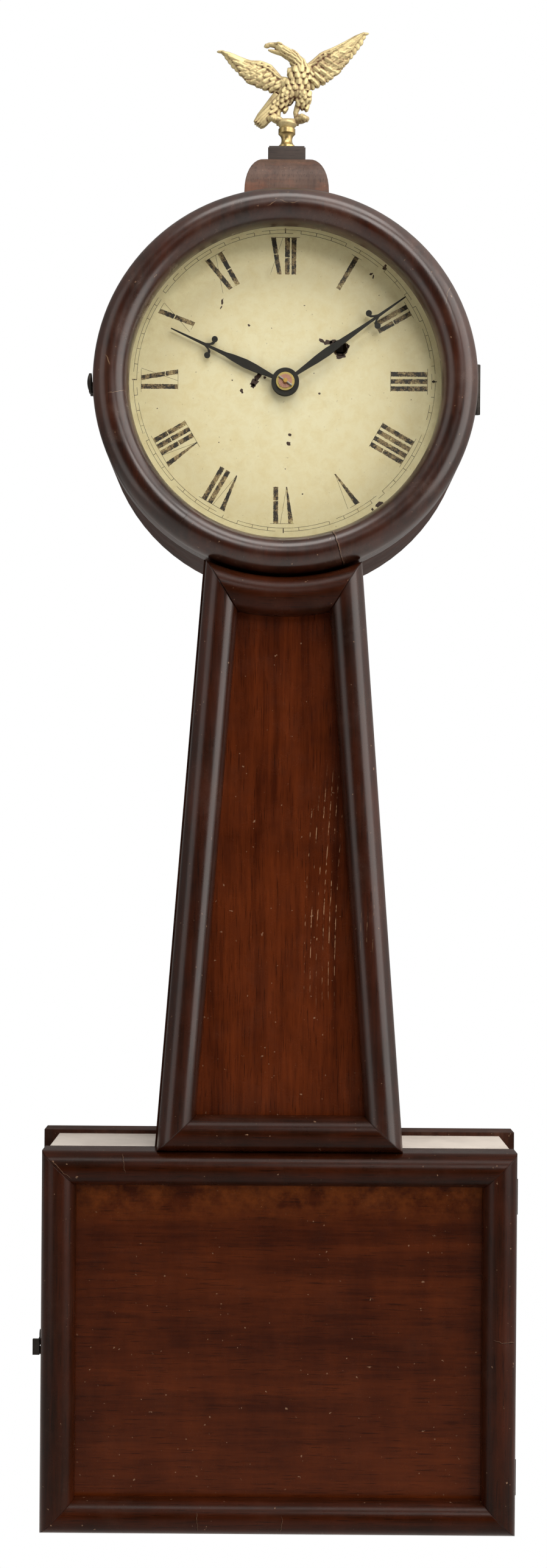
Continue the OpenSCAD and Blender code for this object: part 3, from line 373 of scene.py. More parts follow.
class Solids:
    """Gathers closed solids into one vertex and face list."""

    def __init__(self):
        self.verts = []
        self.faces = []

    def add(self, verts, faces):
        base = len(self.verts)
        self.verts += [Vector(v) for v in verts]
        self.faces += [tuple(base + i for i in face) for face in faces]

    def tube(self, path, radii, sides=12, flat=1.0):
        """A closed tube along path with a radius at each point; flat scales it across Y."""
        rings = []
        path = [Vector(p) for p in path]
        for i, point in enumerate(path):
            ahead = path[min(i + 1, len(path) - 1)] - path[max(i - 1, 0)]
            ahead.normalize()
            depth = Vector((0, 1, 0))
            side = ahead.cross(depth).normalized()
            depth = side.cross(ahead).normalized()
            r = radii[i]
            rings.append([
                point + side * (r * math.cos(a)) + depth * (r * flat * math.sin(a))
                for a in (2 * math.pi * k / sides for k in range(sides))
            ])
        verts = [v for ring in rings for v in ring] + [path[0], path[-1]]
        faces = quads(len(rings) - 1, sides)
        last = (len(rings) - 1) * sides
        for k in range(sides):
            faces.append((len(verts) - 2, (k + 1) % sides, k))
            faces.append((len(verts) - 1, last + k, last + (k + 1) % sides))
        self.add(verts, faces)

    def blob(self, centre, radii, turn=0.0, rings=10, sides=16):
        """An ellipsoid turned by an angle in the XZ plane."""
        centre, spin = Vector(centre), Matrix.Rotation(math.radians(turn), 3, "Y")
        verts = []
        for i in range(1, rings):
            u = math.pi * i / rings
            for k in range(sides):
                v = 2 * math.pi * k / sides
                local = Vector((
                    radii[0] * math.sin(u) * math.cos(v),
                    radii[1] * math.sin(u) * math.sin(v),
                    radii[2] * math.cos(u),
                ))
                verts.append(centre + spin @ local)
        verts += [centre + spin @ Vector((0, 0, radii[2])), centre - spin @ Vector((0, 0, radii[2]))]
        top, low = len(verts) - 2, len(verts) - 1
        faces = quads(rings - 2, sides, flip=True)
        last = (rings - 2) * sides
        for k in range(sides):
            faces.append((top, k, (k + 1) % sides))
            faces.append((low, last + (k + 1) % sides, last + k))
        self.add(verts, faces)

    def slab(self, outline, near, far):
        """A flat plate with an XZ outline between two Y values; near is the smaller Y."""
        count = len(outline)
        verts = [(x, near, z) for x, z in outline] + [(x, far, z) for x, z in outline]
        faces = [tuple(range(count)), tuple(range(2 * count - 1, count - 1, -1))]
        for i in range(count):
            j = (i + 1) % count
            faces.append((j, i, i + count, j + count))
        self.add(verts, faces)

    def mesh(self, name):
        mesh = bpy.data.meshes.new(name)
        mesh.from_pydata([tuple(v) for v in self.verts], [], self.faces)
        mesh.update()
        return mesh


def remeshed(mesh, voxel, smooth_rounds):
    """The union of the mesh's solids as one skin, softened a little."""
    holder = placed("holder", mesh)
    step = holder.modifiers.new("skin", "REMESH")
    step.mode = "VOXEL"
    step.voxel_size = voxel
    ease = holder.modifiers.new("ease", "SMOOTH")
    ease.iterations = smooth_rounds
    ease.factor = 0.5
    graph = bpy.context.evaluated_depsgraph_get()
    result = bpy.data.meshes.new_from_object(holder.evaluated_get(graph))
    bpy.data.objects.remove(holder)
    return result


# ---- Eagle ----


def spline(points, share):
    """A point on the XZ polyline at a share of its length."""
    points = [Vector((x, 0, z)) for x, z in points]
    steps = [(b - a).length for a, b in zip(points, points[1:])]
    want = max(0.0, min(1.0, share)) * sum(steps)
    for a, b, step in zip(points, points[1:], steps):
        if want <= step:
            return a.lerp(b, want / step if step else 0)
        want -= step
    return points[-1]


# Leading and trailing edges of the wings as (x, z) in millimetres, from body to tip
LEFT_LEAD = [
    (-1, 26), (-4.1, 26.6), (-6.7, 29.8), (-10, 33.6),
    (-15.2, 35.7), (-21.6, 36), (-30.2, 39.2), (-38.4, 41.8),
]
LEFT_TRAIL = [
    (-5, 16.5), (-11.3, 19), (-17.8, 21.2), (-24.4, 25.2),
    (-31.9, 32.2), (-34.4, 35.6), (-38.4, 41.8),
]
RIGHT_LEAD = [(11, 33), (14.8, 36.1), (20, 41), (26.6, 43.8), (33.1, 47.3), (39.6, 51.2), (44.6, 53.3)]
RIGHT_TRAIL = [
    (12, 18.5), (17.4, 20.7), (21.3, 22.7), (26.6, 26.5),
    (33.7, 34), (38.3, 39.4), (43, 46), (44.8, 52),
]
EAGLE_LIFT = 3 * MM  # the eagle's own zero above the top of the spool


def wing_plate(solids, lead, trail):
    """The wing as overlapping ellipsoids between its leading and trailing edges."""
    count = 16
    for i in range(count):
        s = i / (count - 1)
        a, b = spline(lead, s), spline(trail, s)
        centre, chord = (a + b) / 2, (b - a).length / 2
        turn = math.degrees(math.atan2(b.x - a.x, b.z - a.z))
        thick = 2.3 - 1.2 * s
        solids.blob(centre, (2.6, thick, max(chord, 0.9)), turn, 8, 14)
    steps = 14
    edge = [spline(lead, i / steps) for i in range(steps + 1)]
    solids.tube(edge, [1.5 - 0.8 * i / steps for i in range(steps + 1)], 10)


def eagle_core():
    """The eagle without its feathers, in millimetres."""
    core = Solids()
    core.blob((6.9, 0, 26.5), (6.3, 5.4, 9.6), -8)
    core.blob((4.5, 0, 19.5), (7.2, 5.0, 5.6), -20)
    core.tube(
        [(8, 0, 31), (6.6, 0, 35.6), (3, 0, 39.2), (-1, 0, 42), (-4.2, 0, 44)],
        [5.0, 4.0, 3.3, 2.9, 2.6], 16, 1.0,
    )
    core.blob((-4.2, 0, 44.3), (3.6, 2.6, 2.5), 18)
    core.tube(
        [(-4.5, 0, 45.2), (-7.6, 0, 45.9), (-10.6, 0, 46.1), (-12.6, 0, 45.7), (-13.5, 0, 44.6)],
        [2.1, 1.65, 1.25, 0.95, 0.35], 12,
    )
    core.blob((-11.6, 0, 45.3), (1.8, 1.15, 1.25), -12)
    jaw = [(-2.6, 0, 41.4), (-6.5, 0, 41.8), (-9.3, 0, 42.5), (-11.2, 0, 43.1)]
    core.tube(jaw, [2.0, 1.3, 0.95, 0.5], 12)
    wing_plate(core, LEFT_LEAD, LEFT_TRAIL)
    wing_plate(core, RIGHT_LEAD, RIGHT_TRAIL)
    core.blob((10.5, 0, 31), (3.8, 3.6, 4.6), 30)
    core.blob((-0.5, 0, 22.5), (5.2, 3.6, 4.2), 60)
    # thighs, shanks and tail
    core.tube([(1.5, 0, 18.5), (-2, 0, 14.5), (-5.2, 0, 9.5)], [4.6, 4.2, 2.6], 14)
    core.tube([(10, 0, 19), (9.6, 0, 14.5), (6.8, 0, 10.2)], [4.6, 4.1, 2.5], 14)
    core.tube([(-5.2, 0, 9.8), (-5.4, 0, 6.5), (-5.6, 0, 3.2)], [2.3, 1.8, 1.9], 12)
    core.tube([(6.4, 0, 10.6), (5, 0, 6.8), (6, 0, 3.2)], [2.0, 1.5, 1.8], 12)
    core.tube([(-3.5, 0, 15), (-9, 0, 8.5), (-14, 0, 3), (-17.4, 0, -0.4)], [5.6, 5.0, 4.3, 2.9], 14, 0.5)
    return core


def toes(solids, x, reach):
    """Three front toes and one behind, each with a claw, gripping the perch."""
    for lean in (-0.8, 0.0, 0.8):
        y = -1.6 - 1.2 * (1 - abs(lean))
        path = [
            (x, y * 0.3, 4.0),
            (x + reach * (0.35 + 0.3 * lean), y, 3.6),
            (x + reach * (0.7 + 0.45 * lean), y - 1.2, 2.3),
            (x + reach * (0.8 + 0.5 * lean), y - 1.0, 0.4),
        ]
        solids.tube(path, [1.6, 1.8, 1.5, 0.6], 10)
        solids.blob(path[1], (1.9, 1.7, 1.6), 0, 8, 10)
        solids.blob(path[2], (1.8, 1.6, 1.6), 0, 8, 10)
    solids.tube([(x, 1.5, 4), (x - 0.3 * reach, 3.2, 2.6), (x - 0.2 * reach, 3.6, 0.4)], [1.2, 1.2, 0.5], 10)


class Plumage:
    """Lays feathers on the eagle's skin, front and back."""

    def __init__(self, skin):
        self.tree = BVHTree.FromObject(skin, bpy.context.evaluated_depsgraph_get())
        self.solids = Solids()

    def surface(self, x, z, side):
        hit = self.tree.ray_cast(Vector((x, side * 40, z)), Vector((0, -side, 0)))[0]
        return hit.y if hit else None

    def feather(self, start, end, width, lift=0.55, thick=0.5, bend=0.0):
        """A feather from start to end in XZ: rounded tip, raised quill, free end standing proud."""
        for side in (-1, 1):
            a, b = Vector((start[0], 0, start[1])), Vector((end[0], 0, end[1]))
            run = b - a
            if run.length < 0.1:
                continue
            across = Vector((-run.z, 0, run.x)).normalized()
            steps, sides = 7, 8
            last_y = None
            rings = []
            for i in range(steps + 1):
                s = i / steps
                point = a + run * s + across * (bend * math.sin(math.pi * s))
                y = self.surface(point.x, point.z, side)
                if y is None:
                    y = last_y if last_y is not None else side * 1.0
                last_y = y
                half = width / 2 * math.sqrt(max(0.0, 1 - (1 - min(1, s * 2.2 + 0.35)) ** 2))
                if s > 0.72:
                    half *= math.sqrt(max(0.02, 1 - ((s - 0.72) / 0.29) ** 2))
                depth = thick * (0.7 + 0.5 * s)
                centre = Vector((point.x, y + side * (lift * (s - 0.15)), point.z))
                ring = []
                for k in range(sides):
                    angle = 2 * math.pi * k / sides
                    out = math.sin(angle)
                    quill = 0.3 * thick if abs(math.cos(angle)) < 0.1 and out > 0 else 0.0
                    proud = Vector((0, side * (depth * out + quill), 0))
                    ring.append(centre + across * (half * math.cos(angle)) + proud)
                rings.append(ring)
            verts = [v for ring in rings for v in ring]
            faces = quads(steps, sides)
            faces.append(tuple(range(sides - 1, -1, -1)))
            faces.append(tuple(steps * sides + k for k in range(sides)))
            self.solids.add(verts, faces)


def feather_wing(plumage, lead, trail, outward, rng):
    """Long primaries to the tip, shorter ones inboard, two rows of coverts and a small front row."""

    def at(s, c):
        p = spline(lead, s).lerp(spline(trail, s), c)
        return Vector((p.x, p.z))

    for i in range(6):
        start = at(0.40 - 0.035 * i, 0.30 + 0.10 * i)
        end = at(0.985 - 0.10 * i, min(1.0, 0.30 + 0.15 * i))
        plumage.feather(start, end, 3.3 - 0.1 * i, 0.35, 0.65, 0.3 * outward)
    for i in range(6):
        s = 0.05 + 0.075 * i
        plumage.feather(at(s, 0.50), at(min(1, s + 0.09 + 0.02 * i), 0.97), 3.0, 0.35, 0.65)
    count, length = 7, 0.34
    for c, width, reach in ((0.42, 2.9, 0.50), (0.20, 2.6, 0.58)):
        for i in range(count):
            s = 0.03 + reach * i / (count - 1)
            end = at(min(1, s + 0.06 + 0.07 * s), min(1.0, c + length))
            end += Vector((rng.uniform(-0.15, 0.15), rng.uniform(-0.15, 0.15)))
            plumage.feather(at(s, c), end, width, 0.55, 0.65)
    for i in range(6):
        s = 0.06 + 0.09 * i
        plumage.feather(at(s, 0.06), at(s + 0.13, 0.16), 1.7, 0.6, 0.6)


def feather_body(plumage, rng):
    """Neck, breast, thighs and tail."""
    # long neck hackles, from the head down to the shoulders
    neck = [(-3.0, 43), (0.4, 40.8), (3.8, 38), (6.4, 34.4), (7.6, 29)]
    for row in range(4):
        for k in range(4):
            s = row / 4.6
            spread = (k - 1.5 + (0.5 if row % 2 else 0)) * (1.3 + 1.1 * s)
            points = []
            for share in (s, min(1, s + 0.30)):
                point = spline(neck, share)
                ahead = (spline(neck, share + 0.04) - point).normalized()
                point += Vector((-ahead.z, 0, ahead.x)) * spread
                points.append((point.x, point.z))
            plumage.feather(*points, 1.5 + 0.5 * s, 0.3, 0.42)
    # breast and belly scales
    for row in range(5):
        z = 32.5 - 3.4 * row
        for k in range(5):
            x = 1.8 + 3.3 * k + (1.6 if row % 2 else 0) - 0.6 * row
            if not -4 < x < 13:
                continue
            lean = rng.uniform(-0.3, 0.3)
            plumage.feather((x, z), (x + lean - 0.4, z - 4.4), 3.7, 0.6, 0.7)
    # thigh feathers, pointing down the leg
    for (x0, z0), (x1, z1) in (((1.5, 19), (-5.4, 8.6)), ((10.6, 19.5), (7.4, 9.2))):
        run = Vector((x1 - x0, z1 - z0))
        side = Vector((-run.y, run.x)).normalized()
        for row in range(4):
            for k in range(3):
                aside = (k - 1) * 2.5 + (1.2 if row % 2 else 0)
                start = Vector((x0, z0)) + run * (row * 0.21) + side * aside
                end = start + run.normalized() * 4.2
                plumage.feather(start, end, 2.7, 0.9, 0.65)
    # tail
    for k in range(4):
        start = Vector((-5.4 - 0.8 * k, 13.0 - 2.4 * k))
        end = Vector((-18.7 + 1.1 * k, 0.5 - 0.85 * k))
        plumage.feather(start, end, 3.0, 0.6, 0.7)
    for k in range(3):
        start = Vector((-3.7 - 0.9 * k, 15.0 - 2.8 * k))
        plumage.feather(start, start + Vector((-4.8, -4.4)), 3.0, 0.9, 0.7)


def build_eagle(material):
    """The finial eagle in millimetres around its perch, then moved onto the spool."""
    rng = random.Random(4)
    whole = eagle_core()
    skin = placed("skin", remeshed(whole.mesh("core"), voxel=0.55, smooth_rounds=4))
    bpy.context.view_layer.update()
    plumage = Plumage(skin)
    bpy.data.objects.remove(skin)
    feather_wing(plumage, LEFT_LEAD, LEFT_TRAIL, -1, rng)
    feather_wing(plumage, RIGHT_LEAD, RIGHT_TRAIL, 1, rng)
    feather_body(plumage, rng)
    whole.add(plumage.solids.verts, plumage.solids.faces)
    for side in (-1, 1):
        whole.blob((-5.2, side * 2.1, 45.3), (0.75, 0.55, 0.7), 0, 8, 10)
        brow = [(-7.2, side * 1.7, 46.3), (-5.2, side * 2.3, 46.5), (-3, side * 2.2, 45.8)]
        whole.tube(brow, [0.5, 0.65, 0.5], 8)
        whole.blob((-10.3, side * 1.0, 46.5), (0.6, 0.35, 0.35), 0, 6, 8)
    toes(whole, -6.2, -3.4)
    toes(whole, 7.2, 3.8)
    whole.blob((0.5, 0, 1.4), (8.2, 3.4, 1.9), 0)
    whole.blob((-5.6, -0.6, 2.4), (3.8, 3.2, 2.1), 8)
    whole.blob((7.6, -0.6, 2.3), (4.2, 3.2, 2.0), -4)
    whole.tube([(0.2, 0, 1.4), (0.1, 0, 0.0), (0, 0, -1.6), (0, 0, -2.9)], [5.6, 5.9, 4.6, 3.4], 28, 0.8)
    mesh = remeshed(whole.mesh("eagle_all"), voxel=0.26, smooth_rounds=1)
    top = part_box("finial_spool")[1].z
    perch = Vector((middle("finial_spool").x, middle("eagle").y, top + EAGLE_LIFT))
    mesh.transform(Matrix.Translation(perch) @ Matrix.Scale(MM, 4))
    piece = adopt("eagle_casting", mesh, "case", material, True)
    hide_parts("eagle")
    return piece


# ---- Dial print ----

# The print sits a little off the arbor
PRINT_AT = Vector((-0.0005, 0, 0.0017))
# The dial is painted palest around this radius, just outside the bezel's opening: painted light against the
# bezel's shadow
PAINTED_LIGHT_RADIUS = 88.5 * MM
INK_THICK = 0.00004
NUMERAL_IN = 60.2 * MM
NUMERAL_OUT = 81.0 * MM
TRACK_IN = 83.6 * MM
TRACK_OUT = 85.5 * MM
STROKE = 2.75 * MM

# Strokes of each numeral as (kind, place across the numeral in mm)
GLYPHS = {
    1: [("I", 0)],
    2: [("I", -2.1), ("I", 2.1)],
    3: [("I", -4.1), ("I", 0), ("I", 4.1)],
    4: [("I", -6.2), ("I", -2.1), ("I", 2.1), ("I", 6.2)],
    5: [("V", 0)],
    6: [("V", -2.9), ("I", 4.4)],
    7: [("V", -5.2), ("I", 1.4), ("I", 5.3)],
    8: [("V", -7.2), ("I", -1.2), ("I", 2.8), ("I", 6.8)],
    9: [("I", -3.8), ("X", 2.9)],
    10: [("X", 0)],
    11: [("X", -2.4), ("I", 3.9)],
    12: [("X", -5.0), ("I", 1.2), ("I", 4.9)],
}


def ragged(points, rng, rough, step=0.5 * MM):
    """The outline with extra points on its edges, each nudged a little at random."""
    result = []
    for a, b in zip(points, points[1:] + points[:1]):
        count = max(1, int(math.dist(a, b) / step))
        for i in range(count):
            s = i / count
            u = a[0] + (b[0] - a[0]) * s + rough * rng.gauss(0, 1)
            v = a[1] + (b[1] - a[1]) * s + rough * rng.gauss(0, 1)
            result.append((u, v))
    return result


def dial_face():
    """Y of the dial's front."""
    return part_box("dial")[0].y


def turned(points, angle):
    """Turns points clockwise seen from the front, then moves them to the print's centre."""
    c, s = math.cos(angle), math.sin(angle)
    return [(PRINT_AT.x + u * c + v * s, PRINT_AT.z - u * s + v * c) for u, v in points]


def stroke_shape(kind, place):
    """Inner and outer centre of the thick stroke, its inner and outer half width, then its hairlines."""
    w = STROKE / 2
    place *= MM
    if kind == "I":
        return (place, place, w * 0.94, w), []
    if kind == "V":
        stroke = (place + 1.2 * MM, place - 1.4 * MM, w * 0.25, w * 1.05)
        return stroke, [(place + 1.2 * MM, place + 4.6 * MM)]
    return (place + 1.75 * MM, place - 1.75 * MM, w * 0.9, w), [(place - 3.4 * MM, place + 3.6 * MM)]


def print_dial(ink, faint):
    rng = random.Random(12)
    front = dial_face()
    near, far = front - INK_THICK, front + INK_THICK / 2
    thick, thin = Solids(), Solids()
    for hour, glyphs in GLYPHS.items():
        angle = math.radians(30 * hour)
        spread = [p * MM for _, p in glyphs]
        for kind, place in glyphs:
            (u_in, u_out, w_in, w_out), hairs = stroke_shape(kind, place)
            cut = rng.uniform(0.35, 0.6) if rng.random() < 0.45 else None
            spans = [(0.0, 1.0)] if cut is None else [(0.0, cut - 0.012), (cut + 0.012, 1.0)]
            for s0, s1 in spans:
                quad = []
                for s, side in ((s0, -1), (s1, -1), (s1, 1), (s0, 1)):
                    u = u_in + (u_out - u_in) * s
                    w = w_in + (w_out - w_in) * s
                    quad.append((u + side * w, NUMERAL_IN + (NUMERAL_OUT - NUMERAL_IN) * s))
                thick.slab(turned(ragged(quad, rng, 0.07 * MM), angle), near, far)
            for h_in, h_out in hairs:
                line = [
                    (h_in - 0.1 * MM, NUMERAL_IN), (h_out - 0.1 * MM, NUMERAL_OUT),
                    (h_out + 0.1 * MM, NUMERAL_OUT), (h_in + 0.1 * MM, NUMERAL_IN),
                ]
                thin.slab(turned(line, angle), near, far)
        edge = 3.2 * MM
        for v, share in ((NUMERAL_OUT, 1.0), (NUMERAL_IN, 0.55)):
            if share < 1 and rng.random() < 0.5:
                continue
            left, right = min(spread) - edge * share, max(spread) + edge * share
            bar = [(left, v), (left, v + 0.22 * MM), (right, v + 0.22 * MM), (right, v)]
            thin.slab(turned(bar, angle), near, far)
    track_lines(thin, thick, near, far, rng)
    make_piece("dial_numerals", thick.verts, thick.faces, "case", ink)
    make_piece("dial_lines", thin.verts, thin.faces, "case", faint)


def track_lines(thin, thick, near, far, rng):
    """The minute track: two hairline circles, worn through in places, and sixty ticks."""
    for radius in (TRACK_IN, TRACK_OUT):
        steps = 120
        for i in range(steps):
            if rng.random() < 0.16:
                continue
            a0, a1 = 2 * math.pi * i / steps, 2 * math.pi * (i + 1) / steps
            w = 0.11 * MM
            arc = [(r * math.sin(a), r * math.cos(a)) for r, a in (
                (radius - w, a0), (radius + w, a0), (radius + w, a1), (radius - w, a1)
            )]
            thin.slab([(PRINT_AT.x + u, PRINT_AT.z + v) for u, v in arc], near, far)
    for minute in range(60):
        if rng.random() < 0.1 and minute % 15:
            continue
        quarter = minute % 15 == 0
        w = (0.3 if quarter else 0.15) * MM
        top = TRACK_OUT + (0.9 * MM if quarter else 0)
        tick = [(-w, TRACK_IN), (-w, top), (w, top), (w, TRACK_IN)]
        target = thick if quarter else thin
        target.slab(turned(tick, math.radians(6 * minute)), near, far)
    diamond = [(-0.9 * MM, 84.6 * MM), (0, 85.8 * MM), (0.9 * MM, 84.6 * MM), (0, 83.4 * MM)]
    thick.slab(turned(diamond, math.radians(90)), near, far)


def blot(solids, x, z, size, rng, near, far, stretch=1.0, turn=0.0):
    """A chip in the paint: a ragged round patch, size in mm."""
    count = 14
    c, s = math.cos(turn), math.sin(turn)
    outline = []
    for i in range(count):
        a = 2 * math.pi * i / count
        r = size * MM * rng.uniform(0.62, 1.2)
        u, v = r * math.cos(a) * stretch, r * math.sin(a)
        outline.append((x * MM + u * c - v * s, z * MM + u * s + v * c))
    solids.slab(outline, near, far)


def chip_dial(material):
    """Losses in the enamel around the arbor, the winding hole and here and there on the dial."""
    rng = random.Random(7)
    front = dial_face()
    near, far = front - INK_THICK * 0.8, front + INK_THICK / 2
    chips = Solids()
    size_factor = 1.45
    # x, z and size in mm, then how far it is stretched and turned
    places = [
        (-15.6, 3.6, 1.3, 1.7, 0.9), (-17.4, 0.4, 1.5, 1.2, 0.7), (-14.2, 6.0, 0.9, 1.6, 0.4),
        (-18.2, -1.4, 1.0, 1.0, 0.0), (-11.6, 3.4, 0.5, 1.3, -0.6), (-24.8, -4.2, 0.75, 1.0, 0.0),
        (-24.2, -5.2, 0.45, 1.0, 0.0), (-20.9, 33.0, 0.55, 1.0, 0.0), (-30.0, 1.7, 0.3, 1.0, 0.0),
        (-50.6, 6.2, 0.22, 1.0, 0.0), (-36.0, 46.0, 0.45, 3.4, 1.45), (-36.6, 43.0, 0.3, 2.6, 1.2),
        (2.8, -29.2, 0.6, 1.3, -0.5), (2.1, -34.2, 0.85, 1.0, 0.0), (19.4, -5.5, 0.45, 1.0, 0.0),
        (16.2, 6.0, 0.22, 1.0, 0.0), (48.4, 62.6, 0.42, 2.0, 0.4), (49.4, 61.0, 0.3, 3.2, 1.4),
        (55.8, 66.0, 0.9, 1.0, 0.0), (56.4, 67.4, 0.5, 1.0, 0.0), (54.2, -68.4, 1.2, 1.5, 0.6),
        (50.0, -70.9, 0.55, 1.0, 0.0), (10.2, -62.6, 0.35, 1.0, 0.0), (0.4, -48.4, 0.25, 1.0, 0.0),
        (-37.4, -33.6, 0.25, 1.0, 0.0), (-72.4, -14.6, 0.25, 1.0, 0.0), (20.6, 24.4, 0.9, 1.7, -0.5),
        (23.8, 23.6, 1.0, 1.8, 0.2), (26.6, 23.2, 1.3, 1.4, 0.4), (31.0, 15.9, 1.1, 1.8, 0.0),
        (35.4, 21.4, 1.0, 1.0, 0.3), (52.8, 50.4, 0.2, 1.0, 0.0), (71.4, -8.6, 0.2, 1.0, 0.0),
        (10.6, 44.4, 0.2, 2.0, 0.0), (-8.0, 31.4, 0.2, 1.0, 0.0),
    ]
    for x, z, size, stretch, turn in places:
        blot(chips, x, z, size * size_factor, rng, near, far, stretch, turn)
    for _ in range(60):
        a, r = rng.uniform(0, 2 * math.pi), 84 * math.sqrt(rng.random())
        blot(chips, r * math.cos(a), r * math.sin(a), rng.uniform(0.06, 0.14), rng, near, far)
    # a ragged bare rim around the winding hole
    hole = middle("barrel")
    count = 28
    inner, outer = [], []
    for i in range(count):
        a = 2 * math.pi * i / count
        for rim, r in ((inner, 4.02 * MM), (outer, MM * rng.uniform(4.3, 5.0))):
            rim.append((hole.x + r * math.cos(a), hole.z + r * math.sin(a)))
    verts = [(x, y, z) for rim in (inner, outer) for y in (near, far) for x, z in rim]
    faces = []
    for i in range(count):
        j = (i + 1) % count
        faces.append((i, j, 2 * count + j, 2 * count + i))
        faces.append((count + j, count + i, 3 * count + i, 3 * count + j))
        faces.append((j, i, count + i, count + j))
        faces.append((2 * count + i, 2 * count + j, 3 * count + j, 3 * count + i))
    chips.add(verts, faces)
    make_piece("dial_chips", chips.verts, chips.faces, "case", material)


# ---- Weight line ----


def build_line(material):
    """Two falls from their tops down to the pulley, and a loop that rides under the pulley."""
    low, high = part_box("weight_cord")
    pulley = middle("weight_pulley")
    radius = 0.5 * MM
    hook_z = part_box("cord_hook")[1].z
    strands = {"cord_down": (high.x - radius, high.z), "cord_up": (low.x + radius, hook_z)}
    for name, (x, top) in strands.items():
        solids = Solids()
        length = top - pulley.z
        turns = 90
        path, radii = [], []
        for i in range(turns + 1):
            path.append((x, pulley.y, top - length * i / turns))
            radii.append(radius * (0.92 + 0.08 * (i % 2)))
        solids.tube(path, radii, 8)
        piece = make_piece(name, solids.verts, solids.faces, "case", material, True)
        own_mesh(piece)
        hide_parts("weight_cord")
    loop = Solids()
    reach = (high.x - low.x) / 2 - radius
    steps = 24
    path = []
    for i in range(steps + 1):
        a = math.pi * (1 + i / steps)
        path.append((pulley.x + reach * math.cos(a), pulley.y, pulley.z + reach * math.sin(a)))
    loop.tube(path, [radius] * (steps + 1), 8)
    make_piece("cord_loop", loop.verts, loop.faces, "weight", material, True)


# ---- Finishes ----


def paint(material, *names):
    for name in names:
        piece = nodes[name]
        piece.data.materials.clear()
        piece.data.materials.append(material)


DARK = srgb(28, 10, 3)
BROWN = srgb(66, 27, 11)


def panel_marks(t, color):
    """Pale pore lines on the right of the throat panel."""
    wide = pore_lines(t, 0.016, 0.038, -0.355, -0.215)
    return t.mix(t.times(wide, 0.75), color, srgb(176, 140, 108))


def door_glow(t, color):
    """Rubbed orange polish below the door's top moulding."""
    _, _, z = t.axes()
    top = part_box("door_panel")[1].z
    glow = t.times(t.span(z, top - 0.026, top - 0.006), t.span(t.noise(60.0, 5.0, 0.7), 0.40, 0.70))
    return t.mix(t.times(glow, 0.75), color, srgb(128, 66, 24))


def painted_top_light(t, color):
    """Painted highlight: upward faces are painted pale as if lit from above, more in some places than others.
    """
    up = t.add("ShaderNodeSeparateXYZ", {0: t.add("ShaderNodeNewGeometry").outputs["Normal"]}).outputs[2]
    top_light_share = t.times(t.span(up, 0.8, 0.95), t.span(t.noise(50.0, 4.0), 0.2, 0.6, 0.75, 1.0))
    return t.mix(top_light_share, color, srgb(230, 222, 212))


def finial_patches(t, color):
    """Reddish rubbed patches, strongest on the lower part of the bell."""
    _, _, z = t.axes()
    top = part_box("finial_bracket")[1].z
    patch = t.span(t.noise(70.0, 5.0, 0.7, where=t.scaled((0.6, 1, 1.2))), 0.50, 0.66)
    share = t.times(patch, t.span(z, top - 0.030, top - 0.008, 0.75, 0.25))
    return t.mix(share, color, srgb(128, 78, 54))


def ring_scuffs(t, color):
    """Fine scratches on the bezel, most of them near its top, and brown rubbed patches."""
    head = middle("bezel_ring")
    marks = None
    for a, b, width in (
        ((-0.011, 0.0945), (-0.006, 0.0978), 0.00022),
        ((-0.004, 0.0985), (0.001, 0.0962), 0.00020),
        ((0.001, 0.0962), (0.007, 0.0975), 0.00018),
        ((-0.0985, -0.010), (-0.088, -0.0075), 0.00018),
        ((-0.1, 0.012), (-0.097, 0.006), 0.0004),
        ((0.088, 0.040), (0.091, 0.052), 0.00015),
    ):
        start, end = (head.x + a[0], head.z + a[1]), (head.x + b[0], head.z + b[1])
        line = crack_mask(t, start, end, width)
        marks = line if marks is None else t.math("MAXIMUM", marks, line)
    rubbed = t.span(t.noise(26.0, 5.0, 0.7), 0.50, 0.68, 0.0, 0.22)
    color = t.mix(rubbed, color, srgb(92, 58, 42))
    return t.mix(t.times(marks, 0.7), color, srgb(150, 124, 96))


def stile_marks(t, color):
    """A few pale pore lines on the right throat stile."""
    edge = pore_lines(t, 0.046, 0.060, -0.330, -0.280)
    return t.mix(t.times(edge, 0.6), color, srgb(160, 126, 96))


